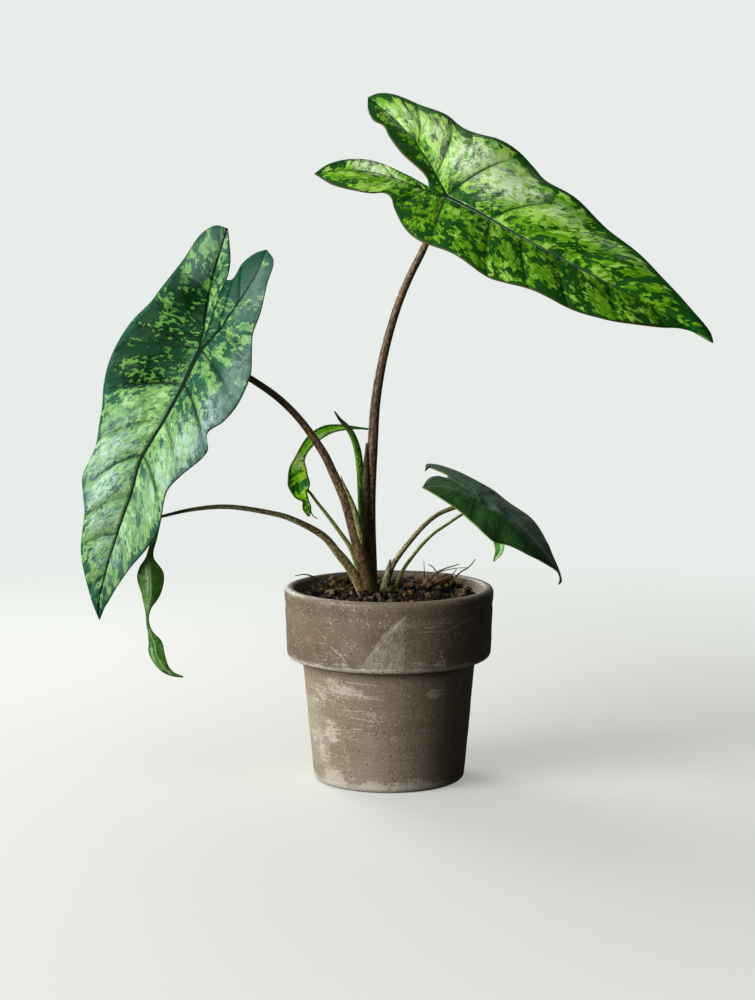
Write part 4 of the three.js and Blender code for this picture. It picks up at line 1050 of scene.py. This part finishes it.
STIPULE = [(-45.4, 4.5, 156), (-43.9, 4.5, 151.7), (-41.3, 4.5, 149.7)]
stipule = round_stem("curled_stipule", STIPULE, [0.4, 0.35, 0.25], sides=10, step=0.6, blunt=2.0)
finish_piece(stipule, [stalk_looks["stalk_brown"]])


# Pot: a circle drawn out ring by ring, up the outside, over the rim and down the inside

POT = {
    "height": 111.5, "rim": 60, "collar": 58.6, "collar_height": 40.5, "neck": 49.6, "foot": 43.5,
    "lip": 5.4, "wall": 5.2, "floor": 7, "drain": 7, "rounding": 3,
}
COLLAR_FOOT = POT["height"] - POT["collar_height"]
GROOVE = {"height": 101.5, "width": 2.6, "depth": 0.45}  # soft ring pressed in under the rim
POT_SIDES = 160


def arc(centre, radius, start, end, parts):
    """Points (radius, height) of an arc, with its start and end in degrees."""
    turns = [math.radians(lerp(start, end, k / parts)) for k in range(parts + 1)]
    return [(centre[0] + radius * math.cos(a), centre[1] + radius * math.sin(a)) for a in turns]


def line_up(start, end, parts):
    return [(lerp(start[0], end[0], k / parts), lerp(start[1], end[1], k / parts)) for k in range(1, parts)]


def collar_wall(start, end, parts):
    """Rings up the collar's outside, with the soft groove under the rim."""
    rings = line_up(start, end, parts)
    dips = [GROOVE["depth"] * math.exp(-(((z - GROOVE["height"]) / GROOVE["width"]) ** 2)) for _, z in rings]
    return [(r - dip, z) for (r, z), dip in zip(rings, dips)]


def pot_rings():
    r = POT["rounding"]
    foot = arc((POT["foot"] - r, r), r, -90, 0, 5)
    under_collar = [(POT["neck"], COLLAR_FOOT - 3), (POT["neck"] + 0.5, COLLAR_FOOT - 0.6)]
    collar_edge = arc((POT["collar"] - r, COLLAR_FOOT + r), r, -80, 0, 6)
    rim = arc((POT["rim"] - r, POT["height"] - r), r, 0, 90, 6)
    inner_rim = arc((POT["rim"] - POT["lip"] + 2, POT["height"] - 2), 2, 90, 180, 4)
    inner_neck = (POT["neck"] - POT["wall"], COLLAR_FOOT - 4)
    inner_floor = (POT["foot"] - POT["wall"], POT["floor"])
    rings = [(POT["drain"], 0), *foot]
    rings += line_up(foot[-1], under_collar[0], 22) + under_collar + collar_edge
    rings += collar_wall(collar_edge[-1], rim[0], 30) + rim + inner_rim
    rings += line_up(inner_rim[-1], inner_neck, 10) + [inner_neck]
    rings += line_up(inner_neck, inner_floor, 10) + [inner_floor]
    return rings + [(POT["drain"], POT["floor"]), (POT["drain"], 0)]


def turned_body(name, rings, sides):
    """A circle drawn out through rings of (radius, height) in mm, closed where the last meets the first."""
    radius, height = rings[0]
    bpy.ops.object.select_all(action="DESELECT")
    bpy.ops.mesh.primitive_circle_add(
        vertices=sides, radius=radius * MM, location=spot((0, 0, height)), enter_editmode=True
    )
    for (radius, height), (next_radius, next_height) in zip(rings, rings[1:]):
        up = (0, 0, (next_height - height) * MM)
        bpy.ops.mesh.extrude_region_move(TRANSFORM_OT_translate={"value": up})
        grow = next_radius / radius
        bpy.ops.transform.resize(value=(grow, grow, 1), center_override=spot((0, 0, next_height)))
    bpy.ops.mesh.select_all(action="SELECT")
    bpy.ops.mesh.remove_doubles(threshold=0.005 * MM)
    bpy.ops.mesh.normals_make_consistent(inside=False)
    bpy.ops.object.mode_set(mode="OBJECT")
    body = bpy.context.object
    body.name = name
    bpy.ops.object.transform_apply(location=True, rotation=True, scale=True)
    return body


def uneven(body, depth, size, seed):
    """Moves the corners a little in and out, as on a hand-finished wall."""
    for v in body.data.vertices:
        out = Vector((v.co.x - POT_AXIS.x, v.co.y - POT_AXIS.y, 0))
        if out.length > 0 and v.co.z > 0.5 * MM:
            push = noise.noise(Vector((v.co.x, v.co.y, v.co.z * 2.5)) / (size * MM) + Vector((seed, 0, 0)))
            v.co += out.normalized() * push * depth * MM


# Clay

# The marks on the wall, in mm round it from its front and mm up
WALL_RADIUS = 55
SMEAR = {"edges": [(99.4, 1.65), (97.6, 0.84)], "right": 7.5, "stain": (3.5, 92)}
CLAY_SMEARS = [
    ((-40, 60), (20, 9), 0.45), ((-42, 34), (10, 12), 0.45), ((-12, 46), (16, 5), 0.3),
    ((-16, 58), (24, 7), 0.4), ((30, 57), (11, 4.5), 0.7), ((-58, 24), (26, 24), 0.45),
    ((-54, 50), (18, 14), 0.35),
    ((-30, 80), (26, 6), 0.35), ((16, 79), (30, 6), 0.35), ((-20, 40), (8, 2), 0.4), ((-44, 8), (16, 9), 0.4),
    ((-12, 3), (14, 5), 0.5), ((22, 4), (16, 6), 0.4),
]
CLAY_SCRATCHES = [
    ((-46, 62), (-16, 59), 0.45), ((-30, 64), (-6, 63), 0.35), ((-52, 53), (-36, 51.5), 0.4),
    ((-18, 55.5), (-2, 55), 0.3), ((-44, 40), (-38, 29), 0.6), ((-48, 34), (-34, 36), 0.4),
    ((-34, 47), (-14, 48), 0.3), ((-40, 58), (-12, 56), 0.35), ((-46, 56), (-26, 54), 0.35),
    ((-28, 44), (-8, 42), 0.3), ((26, 60), (40, 58), 0.5), ((36.5, 68), (38, 50), 0.35),
    ((26, 55), (34, 54), 0.35), ((-26, 37.5), (-17, 37), 0.5), ((14, 95), (32, 94), 0.3),
    ((32, 94.5), (48, 100), 0.4), ((33, 92), (32, 86), 0.3), ((27, 84), (31, 73), 0.4),
    ((-33, 86), (-22, 77), 0.35), ((-13, 101), (-9, 98), 0.3), ((-8, 84), (8.5, 104), 0.35),
    ((-5, 90), (8, 103), 0.25),
]


def scratch_line(f, wall, wobble, start, end, width):
    """1 on a thin, slightly wavering scratch between two places on the wall."""
    length = math.dist(start, end)
    tilt = math.atan2(end[1] - start[1], end[0] - start[0])
    turn = {"Vector": wall, "Center": (*start, 0), "Angle": -tilt}
    turned = f.add("VectorRotate", turn, rotation_type="Z_AXIS").outputs[0]
    along, off, _ = f.parts(f.scaled(turned, (1, 1, 1), (-start[0], -start[1], 0)))
    off = f.maths("ABSOLUTE", f.total(-1.0, (off, 1.0), (wobble, 2.0)))
    return f.times(f.band(off, width, width * 0.3), f.band(along, 0, 2), f.band(along, length, length - 2))


def clay_finish():
    """Unglazed clay: grain, pits, faint turning lines, pale salt at the edges, a painted highlight on the
    collar's lower edge, a painted lighter left side, scratches and a smear.
    """
    f = Finish("clay")
    place = f.scaled(f.place(), (1 / MM, 1 / MM, 1 / MM), tuple(-c / MM for c in POT_AXIS))
    x, y, z = f.parts(place)
    around = f.times(f.maths("ARCTAN2", x, f.times(y, -1.0)), WALL_RADIUS)
    wall = f.vector(around, z)
    body = f.band(z, COLLAR_FOOT - 2, COLLAR_FOOT - 6)

    cloud = f.noise(place, 0.035, 5, 0.6)
    blotch = f.noise(place, 0.09, 5, 0.65, 0.6)
    spots = f.noise(place, 0.75, 2, 0.6)
    dots = f.noise(f.scaled(place, (1, 1, 1), (7, 3, 9)), 0.5, 3, 0.7)
    streaks = f.noise(f.scaled(wall, (0.05, 0.75, 1)), 1.0, 4, 0.7, 0.8)
    tone = f.mix(f.band(cloud, 0.35, 0.68), "#7a6c59", "#645644")
    tone = f.over(tone, "#a89a86", body, 0.42)
    # Painted light: the left side, where the window's light falls, is laid paler
    tone = f.over(tone, "#bcb19c", f.blob(wall, (-70, 34), (36, 46), 0.1), 0.6)
    bands = f.noise(f.scaled(place, (0.01, 0.01, 0.09)), 1.0, 3, 0.6)
    tone = f.over(tone, "#6f604c", f.band(bands, 0.42, 0.62), 0.35)

    edge_salt = f.times(f.band(z, COLLAR_FOOT + 9, COLLAR_FOOT + 1), f.band(z, COLLAR_FOOT - 2, COLLAR_FOOT))
    rim_salt = f.band(z, POT["height"] - 2.5, POT["height"])
    salt = f.total(0.0, (f.band(z, 12, 0), 0.6), (edge_salt, 0.6), (rim_salt, 0.08), (body, 0.2))
    salt = f.blobs(wall, CLAY_SMEARS, 0.2, salt)
    mottle = f.total(0.0, (blotch, 0.45), (streaks, 0.4), (dots, 0.3))
    patchy = f.band(f.total(mottle, (salt, 0.36)), 0.73, 0.87)
    tone = f.over(tone, "#cbc3b4", patchy, 0.7)
    # Pale collar edge: partly salt, partly a painted highlight where its rounding catches the light; the band
    # at the foot is salt
    edge = f.times(f.band(z, COLLAR_FOOT + 3.6, COLLAR_FOOT + 0.8), f.band(z, COLLAR_FOOT - 1, COLLAR_FOOT))
    salt_and_edge_highlight = f.total(0.0, (edge, 0.9), (f.band(z, 6, 1), 0.5))
    tone = f.over(tone, "#d0cbbd", salt_and_edge_highlight, f.total(0.5, (f.band(mottle, 0.42, 0.62), 0.5)))

    wobble = f.noise(wall, 0.25, 2)
    smear_side = f.total(-5.0, (around, 1.0), (wobble, 10.0))
    smear = f.times(f.band(smear_side, SMEAR["right"] + 2, SMEAR["right"] - 1.5), f.band(y, 0, -10))
    smear = f.times(smear, f.band(z, COLLAR_FOOT + 1, COLLAR_FOOT + 5))
    for height, lean in SMEAR["edges"]:
        smear = f.times(smear, f.band(f.total(z, (around, -lean)), height + 0.8, height - 0.8))
    veil = f.noise(f.scaled(wall, (0.5, 0.16, 1), (2, 5, 0)), 1.0, 3, 0.6, 1.0)
    tone = f.over(tone, "#b4b09e", smear, f.total(0.18, (f.band(veil, 0.4, 0.62), 0.4)))
    tone = f.over(tone, "#6a5d4a", f.blob(wall, SMEAR["stain"], (2.6, 4.2), 0.3), 0.45)

    rub = f.band(f.noise(f.scaled(wall, (0.035, 1.3, 1), (4, 1, 0)), 1.0, 2, 0.6, 1.5), 0.64, 0.69)
    tone = f.over(tone, "#d2c9ba", rub, f.band(blotch, 0.45, 0.58), 0.65)
    for start, end, width in CLAY_SCRATCHES:
        tone = f.over(tone, "#cfc6b6", scratch_line(f, wall, wobble, start, end, width), 0.6)

    pale_dots = f.total(0.12, (f.band(mottle, 0.54, 0.68), 0.5))
    tone = f.over(tone, "#cdc4b2", f.band(spots, 0.56, 0.66), pale_dots)
    tone = f.over(tone, "#564a3c", f.band(spots, 0.42, 0.34), 0.25)
    pits = f.times(f.band(f.cells(place, 0.36), 0.2, 0.12), f.band(blotch, 0.5, 0.56))
    tone = f.over(tone, "#372e25", pits, 0.8)

    turning = f.noise(f.scaled(place, (0.01, 0.01, 0.9)), 1.0, 3, 0.6)
    height = f.total(0.0, (spots, 0.7), (turning, 0.45), (pits, -0.9), (patchy, 0.3), (dots, 0.4))
    gloss = f.total(0.72, (f.band(z, POT["height"] - 5, POT["height"] - 1), -0.26), (patchy, 0.1))
    return f.skin(tone, gloss, f.bump(height, 0.3), Specular_IOR_Level=0.45)


pot = turned_body("pot_clay", pot_rings(), POT_SIDES)
uneven(pot, depth=0.25, size=30, seed=4)
finish_piece(pot, [clay_finish()], ["pot"])


# Soil: a body that fills the pot up to a rough top, with clods, bark chips and dry rootlets on it

SOIL_TOP = 106.5
SOIL_RADIUS = 52.4
SOIL_SIDES, SOIL_RINGS = 170, 70
HEAP_LIGHT_HEIGHTS = (108.6, 112.4)  # from where to where the soil is painted lighter: painted light on the heaps
# Place, width and height of each heap
SOIL_HEAPS = [
    ((-36, 26), 11, 4.2), ((-20, 36), 9, 2.6), ((18, 14), 10, 5.0), ((33, 20), 9, 3.4), ((-28, -14), 9, 0.6),
]


def soil_height(x, y):
    """Height of the soil's top in mm."""
    radial = math.hypot(x, y) / SOIL_RADIUS
    heaps = sum(h * math.exp(-(((x - a) ** 2 + (y - b) ** 2) / w**2)) for (a, b), w, h in SOIL_HEAPS)
    rough = math.sin(0.31 * x + 1.2) * math.cos(0.27 * y) + 0.6 * math.sin(0.17 * x - 0.43 * y)
    crumbs = noise.fractal(Vector((x, y, 3)) * 0.22, 0.9, 2.2, 4)
    return SOIL_TOP - 2.5 * radial**4 + (heaps + 0.7 * rough + 1.4 * crumbs) * (1 - radial**6)


def soil_body():
    inner_neck = POT["neck"] - POT["wall"] - 0.5
    neck_height = COLLAR_FOOT - 4
    inner_floor = POT["foot"] - POT["wall"] - 0.5
    profile = [(SOIL_RADIUS * k / SOIL_RINGS, None) for k in range(SOIL_RINGS + 1)]
    profile += [(inner_neck, neck_height), (inner_floor, POT["floor"] + 0.3), (0, POT["floor"] + 0.3)]
    places = np.zeros((len(profile), SOIL_SIDES + 1, 3))
    for k, (radius, height) in enumerate(profile):
        for i in range(SOIL_SIDES + 1):
            turn = 2 * math.pi * (i % SOIL_SIDES) / SOIL_SIDES
            x, y = radius * math.cos(turn), radius * math.sin(turn)
            places[k, i] = (x, y, soil_height(x, y) if height is None else height)
    body = bent_grid("soil_bed", places, {})
    joined([body], merge=0.005)
    face_out(body)
    return body


def lump(name, radius, rng, place, stretch, roughness):
    """One small stone-like lump: an icosphere pushed in and out at random."""
    bpy.ops.mesh.primitive_ico_sphere_add(subdivisions=2, radius=radius * MM, location=spot(place))
    made = bpy.context.object
    made.name = name
    made.rotation_euler = [rng.uniform(0, 2 * math.pi) for _ in range(3)]
    made.scale = stretch
    shift = Vector([rng.uniform(0, 50) for _ in range(3)])
    for v in made.data.vertices:
        v.co *= 1 + roughness * noise.noise(v.co / (radius * MM) * 1.3 + shift)
    return made


def scattered(name, count, seed, sizes, stretch, sunk, roughness):
    """Lumps strewn over the soil, joined in one piece."""
    rng = random.Random(seed)
    lumps = []
    for _ in range(count):
        turn = rng.uniform(0, 2 * math.pi)
        size = rng.uniform(*sizes)
        reach = (SOIL_RADIUS - size - 0.8) * math.sqrt(rng.uniform(0, 1))
        x, y = reach * math.cos(turn), reach * math.sin(turn)
        place = (x, y, soil_height(x, y) + size * (0.35 - sunk))
        shape = [rng.uniform(*pair) for pair in stretch]
        lumps.append(lump(name, size, rng, place, shape, roughness))
    select(*lumps)
    bpy.ops.object.join()
    return lumps[0]


def earth_finish(name, dark, light, scale, patchy):
    """Crumbly soil, near black in places as far as patchy says, and with painted light on the heaps."""
    f = Finish(name)
    place = f.place()
    # Painted light: higher up, on the heaps, the soil is laid lighter and less near black
    heap_light = f.band(f.parts(place)[2], *(height * MM for height in HEAP_LIGHT_HEIGHTS))
    cloud = f.noise(place, scale, 5, 0.7)
    grain = f.noise(place, 2000, 3, 0.7)
    near_black = f.noise(place, 110, 3, 0.6, 0.8)
    tone = f.mix(f.band(f.total(cloud, (heap_light, 0.12)), 0.48, 0.64), dark, light)
    # Near-black patches, fewer on the heaps
    tone = f.over(tone, "#050302", f.band(near_black, 0.56, 0.46), f.total(patchy, (heap_light, -0.7 * patchy)))
    tone = f.over(tone, "#8a745a", f.band(grain, 0.6, 0.7), 0.5)
    return f.skin(tone, 0.92, f.bump(f.maths("ADD", cloud, grain), 0.8), Specular_IOR_Level=0.25)


ROOTLETS = [
    [
        (17, 12, 101), (20.6, 14, 109.8), (25.3, 15, 114.4), (28, 15, 116.9), (33.1, 16, 119.1),
        (40.5, 17, 121.2),
    ],
    [(30, 13, 101), (28.4, 14, 115.3), (27.2, 14, 117.7), (25.3, 14, 120.2), (23.1, 14, 121.6)],
    [(22, 8, 101), (26.7, 9, 111), (29.8, 9.5, 112.9), (33.3, 10, 114.2), (36.8, 11, 116.4), (39, 12, 119)],
    [
        (33, 14, 101), (36.6, 15, 111.2), (39.7, 16, 115), (42.5, 17, 117.2), (46.4, 18, 119.4),
        (50.3, 20, 123.6),
    ],
    [
        (-38, 11, 101), (-40, 10, 111), (-42, 5, 114.6), (-44.1, 0, 116.9), (-48.3, -5, 118.8),
        (-53.5, -8, 118.5),
    ],
]
ROOT_RADII = [0.9, 0.7, 0.5, 0.38, 0.28]
FINE_ROOTS = [
    [(19, 15, 108), (23, 15.5, 112.5), (26, 15, 115.5), (30, 15.5, 117.5)],
    [(13.6, 38, 107), (15.5, 39, 111.5), (17.6, 40, 112.6), (21.2, 41, 113.5)],
    [(21.5, 30, 106), (21, 30, 112), (20.8, 30, 116.5), (20.6, 30, 121)],
    [(29, 15, 117), (34, 16, 118.2), (40, 17, 119), (46, 18, 119.2)],
    [(24, 14, 110), (28, 15, 112), (30, 16, 110.5), (33, 17, 112.5)],
    [(38, 22, 105), (39.5, 22, 109), (42, 22, 108), (45.5, 22, 109.5)],
    [(-37, 12, 107), (-41, 9, 112), (-46, 4, 114), (-50, 2, 113)],
    [(5, 20, 107), (8, 20, 110.5), (11, 20, 112), (14, 21, 111)],
]
FINE_RADII = [0.35, 0.28, 0.22, 0.18]

BOTH_WAYS = [(0.75, 1.25)] * 3
FLAT_BITS = [(1.0, 1.6), (0.6, 1.0), (0.25, 0.5)]
# Count, seed, sizes, stretch along each axis, how far sunk, roughness, and the finish
STREWN = {
    "soil_clods": (95, 11, (2.0, 4.2), BOTH_WAYS, 0.1, 0.9, ("#170f08", "#806649", 300, 0.9)),
    "soil_crumbs": (560, 5, (0.6, 1.7), BOTH_WAYS, 0.0, 0.7, ("#160e08", "#80644a", 420, 0.9)),
    "bark_chips": (100, 23, (0.6, 1.9), FLAT_BITS, -0.3, 0.4, ("#5a3616", "#b87c34", 300, 0.4)),
    "moss_bits": (150, 47, (0.5, 1.5), BOTH_WAYS, -0.1, 0.5, ("#4c4e1c", "#a2a44a", 420, 0.5)),
    "pale_grit": (60, 31, (0.3, 0.7), BOTH_WAYS, -0.3, 0.3, ("#8f8a70", "#d6d0b0", 800, 0.8)),
}

finish_piece(soil_body(), [earth_finish("earth", "#0e0906", "#2c1f15", 420, 0.8)], ["soil", "corm"])
for strewn_name, (*rule, look) in STREWN.items():
    bits = scattered(strewn_name, *rule)
    finish_piece(bits, [earth_finish(strewn_name + "_earth", *look)], smooth=False)
roots = [round_stem("rootlets", route, ROOT_RADII, sides=8, step=1.5) for route in ROOTLETS]
roots += [round_stem("rootlets", route, FINE_RADII, sides=6, step=1.2) for route in FINE_ROOTS]
finish_piece(joined(roots, merge=0.001), [plain_finish("dry_root", "#6a4c38", 0.8)])


# Stage: a pale floor that fades into a pale background, a tall window on the left and a soft light above

WALL_COLOUR = tint("#e8ede9")
FLOOR_COLOUR = tint("#e4e6e1")
FLOOR_REACH = 0.9
AIM = Vector((-0.01, 0, 0.2))
WARM = (1.0, 0.98, 0.95)
# Name, place, width and height in metres, watts, colour
LIGHTS = [
    ("window", (-1.5, -0.85, 0.75), 1.0, 1.3, 38, WARM),
    ("window_front", (-0.9, -1.1, 0.5), 0.5, 0.5, 6, WARM),
    ("behind", (-0.55, 0.75, 0.55), 0.5, 0.5, 8, (1.0, 0.99, 0.95)),
    ("ceiling", (-0.5, -0.5, 1.7), 1.2, 1.0, 6, (0.97, 0.99, 1.0)),
]


def pale_floor():
    """A floor that stays pale in the shade, and that throws back little of its light."""
    bpy.ops.mesh.primitive_circle_add(vertices=96, radius=FLOOR_REACH, fill_type="NGON")
    floor = bpy.context.object
    floor.name = "floor"
    f = Finish("floor_paint")
    reach = f.add("VectorMath", {0: f.place()}, operation="LENGTH").outputs["Value"]
    lit = f.add("BsdfDiffuse", {"Color": FLOOR_COLOUR}).outputs[0]
    even = f.add("Emission", {"Color": FLOOR_COLOUR, "Strength": 0.93}).outputs[0]
    paint = f.add("MixShader", {0: 0.45, 1: lit, 2: even}).outputs[0]
    dim = f.add("BsdfDiffuse", {"Color": (0.08, 0.07, 0.06, 1)}).outputs[0]
    seen = f.add("LightPath").outputs["Is Camera Ray"]
    paint = f.add("MixShader", {0: seen, 1: dim, 2: paint}).outputs[0]
    clear = f.add("BsdfTransparent").outputs[0]
    fade = f.band(reach, FLOOR_REACH * 0.2, FLOOR_REACH * 0.97)
    f.add("OutputMaterial", {"Surface": f.add("MixShader", {0: fade, 1: paint, 2: clear}).outputs[0]})
    floor.data.materials.append(f.material)


def background():
    """Pale all round to the eye; as light, bright behind the plant and dim elsewhere."""
    world = bpy.data.worlds.new("room")
    bpy.context.scene.world = world
    world.use_nodes = True
    f = Finish("room", world.node_tree)
    x, y, _ = f.parts(f.add("TexCoord").outputs["Generated"])
    behind = f.times(f.band(y, 0.1, 0.8), f.band(x, 0.6, 0.0))
    light = f.total(0.03, (behind, 0.62))
    seen = f.add("LightPath").outputs["Is Camera Ray"]
    strength = f.add("Mix", {0: seen, 2: light, 3: 1.0}, data_type="FLOAT").outputs[0]
    sky = f.add("Background", {"Color": WALL_COLOUR, "Strength": strength}).outputs[0]
    f.add("OutputWorld", {"Surface": sky})


def soft_light(name, place, width, height, power, colour):
    light = bpy.data.lights.new(name, "AREA")
    light.shape = "RECTANGLE"
    light.size, light.size_y = width, height
    light.energy = power
    light.color = colour
    lamp = bpy.data.objects.new(name, light)
    bpy.context.scene.collection.objects.link(lamp)
    lamp.location = place
    lamp.rotation_euler = (AIM - Vector(place)).to_track_quat("-Z", "Y").to_euler()
    lamp.visible_camera = False


def camera():
    """An 85 mm lens on a full frame, tilted down a little."""
    lens = bpy.data.cameras.new("viewer")
    lens.lens = 85
    lens.sensor_width = 36
    eye = bpy.data.objects.new("viewer", lens)
    bpy.context.scene.collection.objects.link(eye)
    eye.location = spot(EYE)
    eye.rotation_euler = (math.radians(90 - EYE_TILT), 0, 0)
    bpy.context.scene.camera = eye


pale_floor()
background()
for light_settings in LIGHTS:
    soft_light(*light_settings)
camera()
bpy.context.scene.view_settings.view_transform = "Standard"
